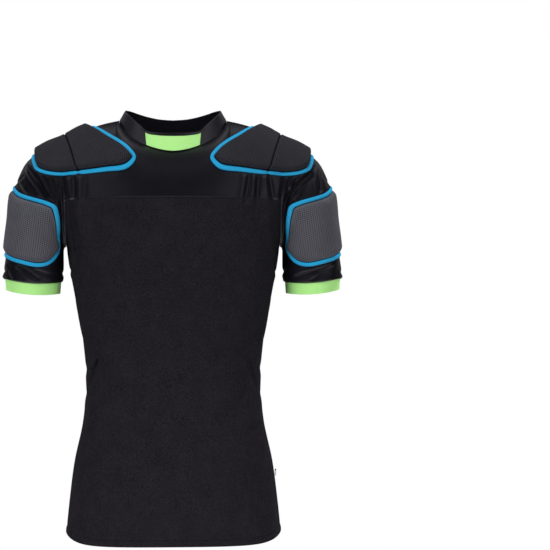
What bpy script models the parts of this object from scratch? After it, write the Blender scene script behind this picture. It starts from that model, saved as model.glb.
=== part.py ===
"""Rugby shoulder pads: a short-sleeved stretch top with foam pads sewn on the shoulders and upper arms.

It keeps the hollow form it has when worn. Metres, +Z up, +Y towards the back, the wearer's left at +X.
The origin is between the neck points of the shoulder seams, where the wearer's shoulders carry it.
Each cut piece is a panel: a grid of points on the garment's surface, given a wall.
Pads and trim lie on those panels.
"""

import math

import bmesh
import bpy
import numpy as np
from mathutils import Vector
from mathutils.bvhtree import BVHTree

FRONT, BACK = -1, 1
QUARTER_TURN = math.pi / 2

# Walls and gaps
JERSEY_WALL = 0.0012
COLLAR_WALL = 0.0018
CUFF_WALL = 0.0016
INSERT_WALL = 0.0010
SEAM_GAP = 0.0003
REST_GAP = 0.0010

# Heights of the seams and edges, below the neck points
HEM = -0.692
HEM_DIP = 0.0135
HEM_ROUND = 10
ARMPIT = -0.212
SHOULDER_TIP = -0.0335
SHOULDER_RISE = 0.0055
YOKE_CENTRE = {FRONT: -0.128, BACK: -0.135}
YOKE_EDGE = {FRONT: -0.133, BACK: -0.155}

# Cross-sections of the body, bottom to top: the side seams lie at y = 0
TORSO_COLUMNS = ("height", "half_width", "front", "back", "squareness")
TORSO = (
    (-0.710, 0.1835, 0.117, 0.113, 3.1),
    (-0.640, 0.1765, 0.115, 0.112, 2.9),
    (-0.575, 0.1680, 0.111, 0.108, 2.8),
    (-0.507, 0.1535, 0.105, 0.099, 2.7),
    (-0.440, 0.1480, 0.101, 0.093, 2.6),
    (-0.371, 0.1530, 0.104, 0.097, 2.5),
    (-0.303, 0.1650, 0.112, 0.107, 2.5),
    (-0.212, 0.1800, 0.119, 0.116, 2.5),
    (-0.125, 0.1810, 0.116, 0.120, 2.5),
)

# Armhole seam: an upright loop between the armpit and the shoulder tip
ARMHOLE_BOTTOM_X = 0.180
ARMHOLE_TOP_X = 0.184
ARMHOLE_TOP_Y = 0.004
ARMHOLE_SIDE_X = {FRONT: 0.180, BACK: 0.187}
ARMHOLE_DEPTH = {FRONT: 0.072, BACK: 0.078}

# Sleeve sections from the armhole to the hem: the ends of each section in the front view, and its depth
SLEEVE_COLUMNS = ("outer_x", "outer_z", "inner_x", "inner_z", "front", "back", "centre_y")
SLEEVE = (
    (0.1840, -0.0335, 0.1800, -0.2120, 0.0720, 0.0780, 0.000),
    (0.2155, -0.0470, 0.1820, -0.2125, 0.0690, 0.0740, 0.000),
    (0.2445, -0.0662, 0.1835, -0.2135, 0.0650, 0.0690, 0.000),
    (0.2600, -0.0930, 0.1845, -0.2160, 0.0620, 0.0640, 0.000),
    (0.2700, -0.1240, 0.1850, -0.2200, 0.0600, 0.0610, -0.001),
    (0.2732, -0.1650, 0.1850, -0.2300, 0.0580, 0.0580, -0.002),
    (0.2803, -0.2150, 0.1850, -0.2480, 0.0560, 0.0560, -0.003),
    (0.2868, -0.2585, 0.1860, -0.2680, 0.0545, 0.0545, -0.004),
    (0.2842, -0.2650, 0.1887, -0.2745, 0.0517, 0.0517, -0.004),
)
SLEEVE_HEM_TILT = -0.02
SLEEVE_WIDEST = 0.5

# Elastic cuff: tucked inside the sleeve hem
CUFF_TUCK = 0.0025
CUFF_DEPTH = 0.0195
CUFF_PULL_IN = 0.0010

# Neckline seam and the upper edge of the collar: centre front, centre back, and the neck point at the side
NECK_POINT = (0.091, 0.008, 0.002)
NECK_CENTRE = {FRONT: (0.0, -0.076, -0.0526), BACK: (0.0, 0.072, -0.022)}
NECK_CURVE = {FRONT: 1.2, BACK: 1.0}
COLLAR_SIDE_X = 0.081
COLLAR_SIDE_Y = 0.006
COLLAR_GAP = 0.0005
COLLAR_CENTRE_Y = {FRONT: -0.062, BACK: 0.064}
COLLAR_EDGE_COLUMNS = ("degrees_from_centre_front", "height")
COLLAR_EDGE = (
    (0, -0.0200),
    (20, -0.0192),
    (34, -0.0158),
    (43, -0.0068),
    (56, 0.0036),
    (67, 0.0108),
    (78, 0.0160),
    (92, 0.0195),
    (105, 0.0200),
    (119, 0.0186),
    (133, 0.0150),
    (147, 0.0108),
    (163, 0.0068),
    (180, 0.0052),
)
NECK_TURN = math.radians(50)
INSERT_TURN_LOW, INSERT_TURN_HIGH = math.radians(33), math.radians(35)
INSERT_LOW, INSERT_HIGH = 0.05, 0.80

# Largest folds of the cloth, on both sides: a soft trough between two points of the front or back view
FOLD_COLUMNS = ("face", "from_x", "from_z", "to_x", "to_z", "half_width", "depth")
FOLDS = (
    (BACK, 0.088, -0.180, 0.136, -0.450, 0.018, 0.0060),
    (BACK, 0.118, -0.200, 0.156, -0.430, 0.016, -0.0030),
    (BACK, 0.148, -0.165, 0.172, -0.280, 0.013, 0.0045),
    (BACK, 0.244, -0.112, 0.200, -0.200, 0.012, 0.0045),
    (BACK, 0.172, -0.116, 0.194, -0.175, 0.011, 0.0035),
    (FRONT, 0.214, -0.094, 0.198, -0.136, 0.010, 0.0030),
    (FRONT, 0.156, -0.180, 0.172, -0.280, 0.014, 0.0035),
    (FRONT, 0.112, -0.380, 0.142, -0.470, 0.014, 0.0030),
    (FRONT, 0.1825, -0.105, 0.1815, -0.260, 0.011, 0.0130),
    (BACK, 0.1910, -0.130, 0.1860, -0.260, 0.011, 0.0070),
)
FOLD_FACE_DEPTH = 0.035

# Foam pads: their outer edges, as seen in the front, back and top views
PAD_EDGE_COLUMNS = ("view", "x", "height_or_y")
SHOULDER_PAD_EDGE = (
    ("top", 0.133, 0.002),
    ("front", 0.110, -0.0200),
    ("front", 0.071, -0.0468),
    ("front", 0.0612, -0.0625),
    ("front", 0.074, -0.0798),
    ("front", 0.110, -0.0858),
    ("front", 0.156, -0.0903),
    ("front", 0.205, -0.0910),
    ("front", 0.228, -0.0835),
    ("front", 0.2345, -0.0732),
    ("top", 0.2380, 0.002),
    ("back", 0.2370, -0.0840),
    ("back", 0.2330, -0.1030),
    ("back", 0.2120, -0.1130),
    ("back", 0.1820, -0.1040),
    ("back", 0.1400, -0.0760),
    ("back", 0.1180, -0.0460),
    ("back", 0.1160, -0.0220),
)
SHOULDER_GROOVE = (
    ("front", 0.156, -0.0815),
    ("front", 0.166, -0.0520),
    ("top", 0.178, 0.002),
    ("back", 0.180, -0.0550),
    ("back", 0.1690, -0.0860),
)
ARM_PAD_EDGE = (
    ("side", -0.002, -0.1090),
    ("front", 0.2520, -0.1220),
    ("front", 0.2100, -0.1342),
    ("front", 0.1905, -0.1440),
    ("front", 0.1870, -0.1590),
    ("front", 0.1862, -0.1880),
    ("front", 0.1885, -0.2110),
    ("front", 0.1960, -0.2285),
    ("front", 0.2090, -0.2420),
    ("front", 0.2260, -0.2458),
    ("front", 0.2600, -0.2370),
    ("side", -0.002, -0.2275),
    ("back", 0.2690, -0.2330),
    ("back", 0.2560, -0.2120),
    ("back", 0.2500, -0.1750),
    ("back", 0.2490, -0.1420),
    ("back", 0.2600, -0.1190),
)
SHOULDER_FOAM = 0.0110
ARM_FOAM = 0.0075
GROOVE_GAP = 0.0014
GROOVE_CLEAR = 0.0030
TRIM_WIDTH = 0.0068
TRIM_HEIGHT = 0.0024
PAD_INSET = TRIM_WIDTH + 0.0012

# Core lines inside the shoulder and the sleeve, round which the pads are mapped
SHOULDER_CORE = ((0.050, 0.005, -0.060), (0.250, 0.005, -0.150))
SHOULDER_RADIUS = 0.085
ARM_CORE = ((0.214, 0.0, -0.100), (0.238, 0.0, -0.270))
ARM_RADIUS = 0.056
NORMAL_REACH = 0.006

# How a foam pad rises from its edge: shares of the way in, of its thickness, and of its dished back
FOAM_PROFILE_COLUMNS = ("towards_centre", "rise", "dish")
FOAM_PROFILE = ((0.0, 0.38, 0.0), (0.07, 0.80, 0.4), (0.17, 0.98, 1.0), (0.42, 1.0, 1.0), (0.72, 1.0, 1.0))
FOAM_DISH = 0.0026

# Section of the trim: shares of its width and of its height
TRIM_SECTION = ((-0.5, 0.0), (-0.5, 0.5), (0.0, 1.0), (0.5, 0.5), (0.5, 0.0))

# Woven label in the wearer's left side seam
LABEL_HEIGHT = -0.598
LABEL_TALL = 0.011
LABEL_LONG = 0.010
LABEL_WALL = 0.0010
LABEL_BEHIND = 0.002
LABEL_TURN = math.radians(14)

# Grid sizes
BODY_LOW_ROWS = 13
ARMHOLE_LOW_ROWS = 6
YOKE_NECK_COLUMNS = 8
YOKE_SHOULDER_COLUMNS = 6
YOKE_ROWS = 9
SLEEVE_ROWS = 10
COLLAR_ROWS = 3
INSERT_COLUMNS = 10
INSERT_ROWS = 2
TRIM_STEPS = 52
FOAM_STEPS = 32

COLOURS = {
    "body_jersey": ((0.016, 0.015, 0.018, 1.0), 0.75),
    "yoke_jersey": ((0.011, 0.011, 0.015, 1.0), 0.55),
    "pad_mesh": ((0.045, 0.044, 0.052, 1.0), 0.80),
    "trim_thread": ((0.030, 0.420, 0.700, 1.0), 0.60),
    "green_elastic": ((0.300, 0.780, 0.130, 1.0), 0.65),
    "label_weave": ((0.550, 0.550, 0.580, 1.0), 0.70),
}


def smooth(knots, values, at):
    """A smooth curve through the rows of a table, read at one or many places."""
    knots = np.asarray(knots, float)
    values = np.asarray(values, float)
    at = np.asarray(at, float)
    slopes = np.gradient(values, knots)
    low = np.clip(np.searchsorted(knots, at) - 1, 0, len(knots) - 2)
    step = knots[low + 1] - knots[low]
    t = np.clip((at - knots[low]) / step, 0, 1)
    start = (2 * t**3 - 3 * t**2 + 1) * values[low] + (t**3 - 2 * t**2 + t) * step * slopes[low]
    end = (3 * t**2 - 2 * t**3) * values[low + 1] + (t**3 - t**2) * step * slopes[low + 1]
    return start + end


def torso(column, height):
    """One size of the body's section at a height."""
    knots = [row[0] for row in TORSO]
    values = [row[TORSO_COLUMNS.index(column)] for row in TORSO]
    return smooth(knots, values, height)


def sleeve_size(column, along):
    """One size of the sleeve's section, from 0 at the armhole to 1 at the hem."""
    knots = np.linspace(0, 1, len(SLEEVE))
    values = [row[SLEEVE_COLUMNS.index(column)] for row in SLEEVE]
    return smooth(knots, values, along)


def soft_step(share):
    """Rises from 0 to 1 with level ends."""
    share = np.clip(share, 0, 1)
    return share * share * (3 - 2 * share)


def fold_cloth(points):
    """Moves points of the surface along y, into the troughs of the largest folds."""
    points = np.array(points, float)
    x, y, z = np.abs(points[..., 0]), points[..., 1].copy(), points[..., 2]
    for face, from_x, from_z, to_x, to_z, half_width, depth in FOLDS:
        run_x, run_z = to_x - from_x, to_z - from_z
        length_squared = run_x**2 + run_z**2
        share = ((x - from_x) * run_x + (z - from_z) * run_z) / length_squared
        held = np.clip(share, 0, 1)
        away = np.hypot(x - from_x - held * run_x, z - from_z - held * run_z)
        ends = soft_step(share / 0.35) * soft_step((1 - share) / 0.35)
        facing = soft_step(face * y / FOLD_FACE_DEPTH)
        points[..., 1] -= face * depth * np.exp(-((away / half_width) ** 2)) * ends * facing
    return points


def body_row(side, across, height, lift):
    """One level of the front or back, across from -1 to 1; lift is the share from armpit to yoke seam."""
    turn = lift * QUARTER_TURN
    edge_depth = ARMHOLE_DEPTH[side] * math.sin(turn)
    squareness = torso("squareness", height)
    roundness = 1 / squareness + (1 - 1 / squareness) * soft_step(lift)
    half_width = torso("half_width", height)
    if lift > 0:
        side_move = ARMHOLE_SIDE_X[side] - ARMHOLE_BOTTOM_X
        half_width = np.full_like(across, ARMHOLE_BOTTOM_X + side_move * math.sin(turn))
    depth = torso("front" if side == FRONT else "back", height)
    crown = (1 - np.minimum(np.abs(across), 1) ** squareness) ** roundness
    y = side * (edge_depth + (depth - edge_depth) * crown + SEAM_GAP / 2)
    return np.stack([across * half_width, y, height], axis=-1)


def yoke_across(side):
    """Where the columns of a half yoke meet the yoke seam, as shares of the half width."""
    neck_share = NECK_POINT[0] * 1.12 / ARMHOLE_SIDE_X[side]
    neck = np.linspace(0, neck_share, YOKE_NECK_COLUMNS + 1)
    shoulder = np.linspace(neck_share, 1, YOKE_SHOULDER_COLUMNS + 1)
    return np.concatenate([neck, shoulder[1:]])


def armpit_to_yoke(side, across, lift):
    """One level between the armpit and the yoke seam: its ends climb the armhole."""
    turn = lift * QUARTER_TURN
    centre = ARMPIT + (YOKE_CENTRE[side] - ARMPIT) * lift
    edge = YOKE_EDGE[side] - (YOKE_EDGE[side] - ARMPIT) * math.cos(turn)
    return body_row(side, across, centre + (edge - centre) * np.abs(across) ** 4, lift)


def body_surface(side):
    """The front or back from the hem to the yoke seam."""
    half = YOKE_NECK_COLUMNS + YOKE_SHOULDER_COLUMNS
    across = np.sin(np.linspace(-1, 1, 2 * half + 1) * QUARTER_TURN)
    at_yoke = np.concatenate([-yoke_across(side)[:0:-1], yoke_across(side)])
    hem = HEM - HEM_DIP * (1 - np.abs(across) ** HEM_ROUND)
    rows = []
    for share in np.linspace(0, 1, BODY_LOW_ROWS + 1):
        rows.append(body_row(side, across, hem + (ARMPIT - hem) * share, 0.0))
    for lift in np.linspace(0, 1, ARMHOLE_LOW_ROWS + 1)[1:]:
        rows.append(armpit_to_yoke(side, across + (at_yoke - across) * soft_step(lift), lift))
    rows[-1][..., 2] -= SEAM_GAP
    return fold_cloth(np.array(rows))


def neckline(side, turn):
    """A point of the neckline seam: turn 0 is the centre, a quarter turn the neck point."""
    centre, curve = NECK_CENTRE[side], NECK_CURVE[side]
    forward = max(math.cos(turn), 0.0)
    x = NECK_POINT[0] * math.sin(turn) ** curve
    y = NECK_POINT[1] + (centre[1] - NECK_POINT[1]) * forward
    z = NECK_POINT[2] + (centre[2] - NECK_POINT[2]) * forward**curve
    return np.array([x, y, z])


def collar_edge(side, turn):
    """A point of the collar's upper edge, at the same turn."""
    degrees, heights = zip(*COLLAR_EDGE)
    from_front = math.degrees(turn if side == FRONT else math.pi - turn)
    x = COLLAR_SIDE_X * math.sin(turn)
    y = COLLAR_SIDE_Y + (COLLAR_CENTRE_Y[side] - COLLAR_SIDE_Y) * math.cos(turn)
    return np.array([x, y, float(smooth(degrees, heights, from_front))])


def yoke_half(side):
    """The yoke from its centre line to the armhole, at +X: columns of rows from the yoke seam up."""
    lower = armpit_to_yoke(side, yoke_across(side), 1.0)
    tip = np.array([ARMHOLE_TOP_X, ARMHOLE_TOP_Y, SHOULDER_TIP])
    columns = []
    for index, start in enumerate(lower):
        if index <= YOKE_NECK_COLUMNS:
            share = index / YOKE_NECK_COLUMNS
            end = neckline(side, share * QUARTER_TURN)
            bend = NECK_TURN + (QUARTER_TURN - NECK_TURN) * soft_step(share)
        else:
            share = (index - YOKE_NECK_COLUMNS) / YOKE_SHOULDER_COLUMNS
            end = np.array(NECK_POINT) + (tip - np.array(NECK_POINT)) * share
            end[2] += SHOULDER_RISE * math.sin(math.pi * share)
            bend = QUARTER_TURN
        end = end + np.array([0, side * SEAM_GAP / 2, 0])
        turn = np.linspace(0, bend, YOKE_ROWS + 1)[:, None]
        run = (1 - np.cos(turn)) / (1 - math.cos(bend))
        rise = np.sin(turn) / math.sin(bend)
        columns.append(start + (end - start) * np.hstack([run, run, rise]))
    return np.array(columns)


def yoke_surface(side):
    """The whole yoke, from armhole to armhole."""
    half = yoke_half(side)
    mirrored = half[:0:-1] * np.array([-1, 1, 1])
    whole = np.concatenate([mirrored, half])
    return fold_cloth(whole.transpose(1, 0, 2))


def loop_turns():
    """Round a sleeve section from the armpit, over the front: side, upper half or not, share of a quarter."""
    low = np.linspace(0, 1, ARMHOLE_LOW_ROWS + 1)
    high = np.linspace(0, 1, YOKE_ROWS + 1)
    front = [(FRONT, False, share) for share in low] + [(FRONT, True, share) for share in high[1:]]
    back = [(BACK, True, share) for share in high[-2:0:-1]] + [(BACK, False, share) for share in low[:0:-1]]
    return front + back


def armhole_point(side, upper, share):
    """A point of the armhole seam, as the body's edge has it."""
    turn = share * QUARTER_TURN
    if upper:
        run, rise = 1 - math.cos(turn), math.sin(turn)
        start = np.array([ARMHOLE_SIDE_X[side], side * ARMHOLE_DEPTH[side], YOKE_EDGE[side]])
        end = np.array([ARMHOLE_TOP_X, ARMHOLE_TOP_Y, SHOULDER_TIP])
        return start + (end - start) * np.array([run, run, rise])
    start = np.array([ARMHOLE_BOTTOM_X, 0, ARMPIT])
    end = np.array([ARMHOLE_SIDE_X[side], side * ARMHOLE_DEPTH[side], YOKE_EDGE[side]])
    run, rise = math.sin(turn), 1 - math.cos(turn)
    return start + (end - start) * np.array([run, run, rise])


def sleeve_loop(along):
    """One section of the sleeve at +X."""
    inner = np.array([sleeve_size("inner_x", along), 0, sleeve_size("inner_z", along)])
    outer = np.array([sleeve_size("outer_x", along), 0, sleeve_size("outer_z", along)])
    centre_y = sleeve_size("centre_y", along)
    points = []
    for side, upper, share in loop_turns():
        armhole_widest = (YOKE_EDGE[side] - ARMPIT) / (SHOULDER_TIP - ARMPIT)
        widest = SLEEVE_WIDEST + (armhole_widest - SLEEVE_WIDEST) * (1 - along) ** 2
        turn = share * QUARTER_TURN
        if upper:
            up, out = widest + (1 - widest) * math.sin(turn), math.cos(turn)
        else:
            up, out = widest * (1 - math.cos(turn)), math.sin(turn)
        depth = sleeve_size("front" if side == FRONT else "back", along)
        point = inner + (outer - inner) * up
        point[1] = centre_y + side * depth * out
        points.append(point)
    return np.array(points)


def sleeve_surface():
    """The sleeve at +X, from the armhole seam to its hem."""
    seam = np.array([armhole_point(*turn) for turn in loop_turns()])
    correction = seam - sleeve_loop(0.0)
    rows = []
    for along in np.linspace(0, 1, SLEEVE_ROWS + 1):
        loop = sleeve_loop(along) + correction * (1 - along) ** 3
        loop[:, 2] += SLEEVE_HEM_TILT * along**2 * loop[:, 1]
        rows.append(loop + np.array([SEAM_GAP, 0, 0]))
    return fold_cloth(np.array(rows))


def collar_loop(share):
    """One level of the collar, from the centre front: share 0 is the neckline seam, 1 the upper edge."""
    turns = np.linspace(0, QUARTER_TURN, YOKE_NECK_COLUMNS + 1)
    quarter = [(FRONT, 1, turn) for turn in turns] + [(BACK, 1, turn) for turn in turns[-2::-1]]
    half = quarter + [(side, -1, turn) for side, _, turn in quarter[-2:0:-1]]
    points = []
    for side, mirror, turn in half:
        low, high = neckline(side, turn), collar_edge(side, turn)
        first = COLLAR_GAP / np.linalg.norm(high - low)
        point = low + (high - low) * (first + (1 - first) * share)
        points.append(point * np.array([mirror, 1, 1]))
    return np.array(points)


def collar_surface():
    return np.array([collar_loop(share) for share in np.linspace(0, 1, COLLAR_ROWS + 1)])


def insert_surface():
    """The front of the collar that the green insert covers."""
    rows = []
    for share in np.linspace(INSERT_LOW, INSERT_HIGH, INSERT_ROWS + 1):
        row = []
        widest = INSERT_TURN_LOW + (INSERT_TURN_HIGH - INSERT_TURN_LOW) * share
        for turn in np.linspace(-widest, widest, INSERT_COLUMNS + 1):
            low, high = neckline(FRONT, abs(turn)), collar_edge(FRONT, abs(turn))
            point = low + (high - low) * share
            row.append(point * np.array([math.copysign(1, turn), 1, 1]))
        rows.append(row)
    return np.array(rows)


def grid_normals(grid, closed):
    """Unit normals of a grid of points; a closed grid joins its last column to its first."""
    if closed:
        across = np.roll(grid, -1, axis=1) - np.roll(grid, 1, axis=1)
    else:
        across = np.gradient(grid, axis=1)
    along = np.gradient(grid, axis=0)
    normals = np.cross(across, along)
    return normals / np.linalg.norm(normals, axis=-1, keepdims=True)


def facing_out(grid, normals, inside):
    """The normals turned away from a point inside the garment."""
    outward = ((grid - np.asarray(inside)) * normals).sum()
    return normals if outward > 0 else -normals


def grid_faces(rows, columns, closed, first=0):
    """Quads of a grid whose points are numbered row by row."""
    faces = []
    for row in range(rows - 1):
        for column in range(columns if closed else columns - 1):
            beside = (column + 1) % columns
            low, high = first + row * columns, first + (row + 1) * columns
            faces.append((low + column, low + beside, high + beside, high + column))
    return faces


def rim_loop(rows, columns):
    """The edge of an open grid, once round."""
    bottom = [column for column in range(columns)]
    right = [row * columns + columns - 1 for row in range(1, rows)]
    top = [(rows - 1) * columns + column for column in range(columns - 2, -1, -1)]
    left = [row * columns for row in range(rows - 2, 0, -1)]
    return bottom + right + top + left


def walled_mesh(outer, inner, closed):
    """Points and faces of the wall between two matching grids."""
    rows, columns = outer.shape[:2]
    count = rows * columns
    points = np.concatenate([outer.reshape(-1, 3), inner.reshape(-1, 3)])
    faces = grid_faces(rows, columns, closed)
    faces += [face[::-1] for face in grid_faces(rows, columns, closed, count)]
    if closed:
        rims = [list(range(columns)), list(range((rows - 1) * columns, count))]
    else:
        rims = [rim_loop(rows, columns)]
    for rim in rims:
        for here, there in zip(rim, rim[1:] + rim[:1]):
            faces.append((here, there, there + count, here + count))
    return points, faces


def make_object(name, points, faces, material, parent):
    """A named object of a closed mesh, smooth-shaded between its edges."""
    mesh = bpy.data.meshes.new(name)
    mesh.from_pydata([Vector(point) for point in points], [], faces)
    work = bmesh.new()
    work.from_mesh(mesh)
    bmesh.ops.triangulate(work, faces=work.faces[:])
    bmesh.ops.recalc_face_normals(work, faces=work.faces[:])
    work.to_mesh(mesh)
    work.free()
    mesh.shade_smooth()
    mesh.set_sharp_from_angle(angle=math.radians(40))
    mesh.materials.append(material)
    piece = bpy.data.objects.new(name, mesh)
    bpy.context.scene.collection.objects.link(piece)
    piece.parent = parent
    return piece


def make_pair(name, points, faces, material, parent):
    """The wearer's left piece, given at +X, and its mirror image on the right."""
    make_object(name + "_left", points, faces, material, parent)
    make_object(name + "_right", np.asarray(points) * np.array([-1, 1, 1]), faces, material, parent)


def make_materials():
    made = {}
    for name, (colour, roughness) in COLOURS.items():
        material = bpy.data.materials.new(name)
        material.use_nodes = True
        shader = material.node_tree.nodes["Principled BSDF"]
        shader.inputs["Base Color"].default_value = colour
        shader.inputs["Roughness"].default_value = roughness
        shader.inputs["Metallic"].default_value = 0.0
        made[name] = material
    return made


def wall_panel(grid, wall, closed, inside):
    """The mesh of a cloth panel: its outer points are the surface, its inner ones a wall deeper."""
    normals = facing_out(grid, grid_normals(grid, closed), inside)
    return walled_mesh(grid, grid - normals * wall, closed)


def skin_tree(*grids):
    """A search tree over outer surfaces, for what lies on them."""
    points, faces = [], []
    for grid, closed in grids:
        rows, columns = grid.shape[:2]
        faces += grid_faces(rows, columns, closed, len(points))
        points += [Vector(point) for point in grid.reshape(-1, 3)]
    return BVHTree.FromPolygons(points, faces)


def on_skin(skin, view, first, second):
    """The point of the surface that a view shows, given by the two sizes that the view gives."""
    far = 1.0
    if view == "front":
        start, way = Vector((first, -far, second)), Vector((0, 1, 0))
    elif view == "back":
        start, way = Vector((first, far, second)), Vector((0, -1, 0))
    elif view == "side":
        start, way = Vector((far, first, second)), Vector((-1, 0, 0))
    else:
        start, way = Vector((first, second, far)), Vector((0, 0, -1))
    return np.array(skin.ray_cast(start, way)[0])


class Chart:
    """A flat map of the cloth round a core line: how far along the core, and how far round it."""

    def __init__(self, skin, core, radius):
        self.skin = skin
        self.start = np.array(core[0])
        along = np.array(core[1]) - self.start
        self.along = along / np.linalg.norm(along)
        self.round = np.array([0.0, -1.0, 0.0])
        self.out = np.cross(self.round, self.along)
        self.radius = radius

    def flatten(self, point):
        away = point - self.start
        turn = math.atan2(away @ self.round, away @ self.out)
        return np.array([away @ self.along, self.radius * turn])

    def place(self, spot):
        """The point of the surface at a spot of the map, or beside it where the spot is on a seam's gap."""
        turn = spot[1] / self.radius
        way = self.out * math.cos(turn) + self.round * math.sin(turn)
        core = self.start + self.along * spot[0]
        hit = self.skin.ray_cast(Vector(core), Vector(way))[0]
        if hit is None:
            hit = self.skin.find_nearest(Vector(core + way * self.radius))[0]
        return np.array(hit)

    def raised(self, spots, height):
        """Points above the surface, higher by its bulge, so that straight steps between them clear it."""
        points = []
        for spot in spots:
            here = self.place(spot)
            low, high = self.place(spot - (NORMAL_REACH, 0)), self.place(spot + (NORMAL_REACH, 0))
            back, front = self.place(spot - (0, NORMAL_REACH)), self.place(spot + (0, NORMAL_REACH))
            normal = np.cross(front - back, high - low)
            normal /= np.linalg.norm(normal)
            bulge = max(0.0, (here - (low + high) / 2) @ normal, (here - (back + front) / 2) @ normal)
            points.append(here + normal * (height + bulge))
        return np.array(points)


def resample(points, count, closed):
    """Evenly spaced points on a smooth curve through the given ones."""
    points = np.asarray(points, float)
    if closed:
        padded = np.concatenate([points[-2:], points, points[:3]])
    else:
        padded = np.concatenate([points[:1] * 2 - points[1:2], points, points[-1:] * 2 - points[-2:-1]])
    spans = np.linalg.norm(np.diff(padded, axis=0), axis=1)
    knots = np.concatenate([[0], np.cumsum(np.sqrt(spans))])
    first, last = (2, len(padded) - 3) if closed else (1, len(padded) - 2)
    at = np.linspace(knots[first], knots[last], 16 * count)
    curve = np.stack([smooth(knots, padded[:, axis], at) for axis in (0, 1)], axis=1)
    return even_steps(curve, count, closed)


def even_steps(curve, count, closed):
    """Evenly spaced points along a line of straight steps; a closed line ends where it starts."""
    length = np.concatenate([[0], np.cumsum(np.linalg.norm(np.diff(curve, axis=0), axis=1))])
    stops = np.linspace(0, length[-1], count + 1)[:-1] if closed else np.linspace(0, length[-1], count)
    return np.stack([np.interp(stops, length, curve[:, axis]) for axis in (0, 1)], axis=1)


def inward_of(loop):
    """Unit directions into a closed loop on the map."""
    run = np.roll(loop, -1, axis=0) - np.roll(loop, 1, axis=0)
    run /= np.linalg.norm(run, axis=1, keepdims=True)
    inward = np.stack([-run[:, 1], run[:, 0]], axis=1)
    if ((loop.mean(axis=0) - loop) * inward).sum() < 0:
        inward = -inward
    return inward


def trim_mesh(chart, edge):
    """The sewn trim round a pad: a low rounded band, its outer side on the pad's edge."""
    inward = inward_of(edge)
    section = []
    for across, up in TRIM_SECTION:
        line = edge + inward * TRIM_WIDTH * (across + 0.5)
        section.append(chart.raised(line, REST_GAP + TRIM_HEIGHT * up))
    grid = np.array(section)
    rows, columns = grid.shape[:2]
    faces = grid_faces(rows, columns, True)
    last = (rows - 1) * columns
    for column in range(columns):
        beside = (column + 1) % columns
        faces.append((last + column, last + beside, beside, column))
    return grid.reshape(-1, 3), faces


def foam_mesh(chart, outline, thickness):
    """A foam block on the surface: rings of points from its outline in to its centre."""
    centre = outline.mean(axis=0)
    top, base = [], []
    for towards_centre, rise, dish in FOAM_PROFILE:
        ring = outline + (centre - outline) * towards_centre
        top.append(chart.raised(ring, REST_GAP + thickness * rise))
        base.append(chart.raised(ring, REST_GAP + FOAM_DISH * dish))
    top, base = np.array(top), np.array(base)
    rows, columns = top.shape[:2]
    count = rows * columns
    tips = [chart.raised([centre], REST_GAP + rise)[0] for rise in (thickness, FOAM_DISH)]
    faces = grid_faces(rows, columns, True)
    faces += [face[::-1] for face in grid_faces(rows, columns, True, count)]
    last = (rows - 1) * columns
    for column in range(columns):
        beside = (column + 1) % columns
        faces.append((last + column, last + beside, 2 * count))
        faces.append((count + last + beside, count + last + column, 2 * count + 1))
        faces.append((beside, column, count + column, count + beside))
    return np.concatenate([top.reshape(-1, 3), base.reshape(-1, 3), tips]), faces


def mapped(chart, rows, count, closed):
    """A smooth line on the map through rows of a pad's table."""
    return resample([chart.flatten(on_skin(chart.skin, *row)) for row in rows], count, closed)


def split_pad(inside_edge, groove):
    """The outlines of the two foam blocks, either side of the groove over the shoulder."""
    ends = [int(np.argmin(np.linalg.norm(inside_edge - end, axis=1))) for end in (groove[0], groove[-1])]
    first, second = min(ends), max(ends)
    far_arc = np.concatenate([inside_edge[second:], inside_edge[: first + 1]])
    arcs = [inside_edge[first : second + 1], far_arc]
    run = np.gradient(groove, axis=0)
    beside = np.stack([-run[:, 1], run[:, 0]], axis=1) / np.linalg.norm(run, axis=1, keepdims=True)
    outlines = []
    for arc in arcs:
        side = np.sign(((arc.mean(axis=0) - groove.mean(axis=0)) * beside.mean(axis=0)).sum())
        line = groove + beside * side * GROOVE_GAP / 2
        away = np.linalg.norm(arc[:, None] - groove[None], axis=2).min(axis=1)
        kept = arc[away > GROOVE_CLEAR]
        if np.linalg.norm(kept[-1] - line[0]) > np.linalg.norm(kept[-1] - line[-1]):
            line = line[::-1]
        outlines.append(even_steps(np.concatenate([kept, line, kept[:1]]), FOAM_STEPS, True))
    return sorted(outlines, key=lambda outline: outline[:, 0].mean())


def make_pads(skin, materials, parent):
    """The shoulder and upper-arm pads, each foam block and each ring of trim a piece of its own."""
    mesh_cloth, thread = materials["pad_mesh"], materials["trim_thread"]
    chart = Chart(skin, SHOULDER_CORE, SHOULDER_RADIUS)
    edge = mapped(chart, SHOULDER_PAD_EDGE, TRIM_STEPS, True)
    make_pair("shoulder_pad_trim", *trim_mesh(chart, edge), thread, parent)
    groove = mapped(chart, SHOULDER_GROOVE, FOAM_STEPS // 2, False)
    outlines = split_pad(edge + inward_of(edge) * PAD_INSET, groove)
    for name, outline in zip(("shoulder_pad_inner", "shoulder_pad_outer"), outlines):
        make_pair(name, *foam_mesh(chart, outline, SHOULDER_FOAM), mesh_cloth, parent)
    chart = Chart(skin, ARM_CORE, ARM_RADIUS)
    edge = mapped(chart, ARM_PAD_EDGE, TRIM_STEPS, True)
    make_pair("arm_pad_trim", *trim_mesh(chart, edge), thread, parent)
    inside_edge = edge + inward_of(edge) * PAD_INSET
    outline = even_steps(np.concatenate([inside_edge, inside_edge[:1]]), FOAM_STEPS, True)
    make_pair("arm_pad", *foam_mesh(chart, outline, ARM_FOAM), mesh_cloth, parent)


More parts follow.
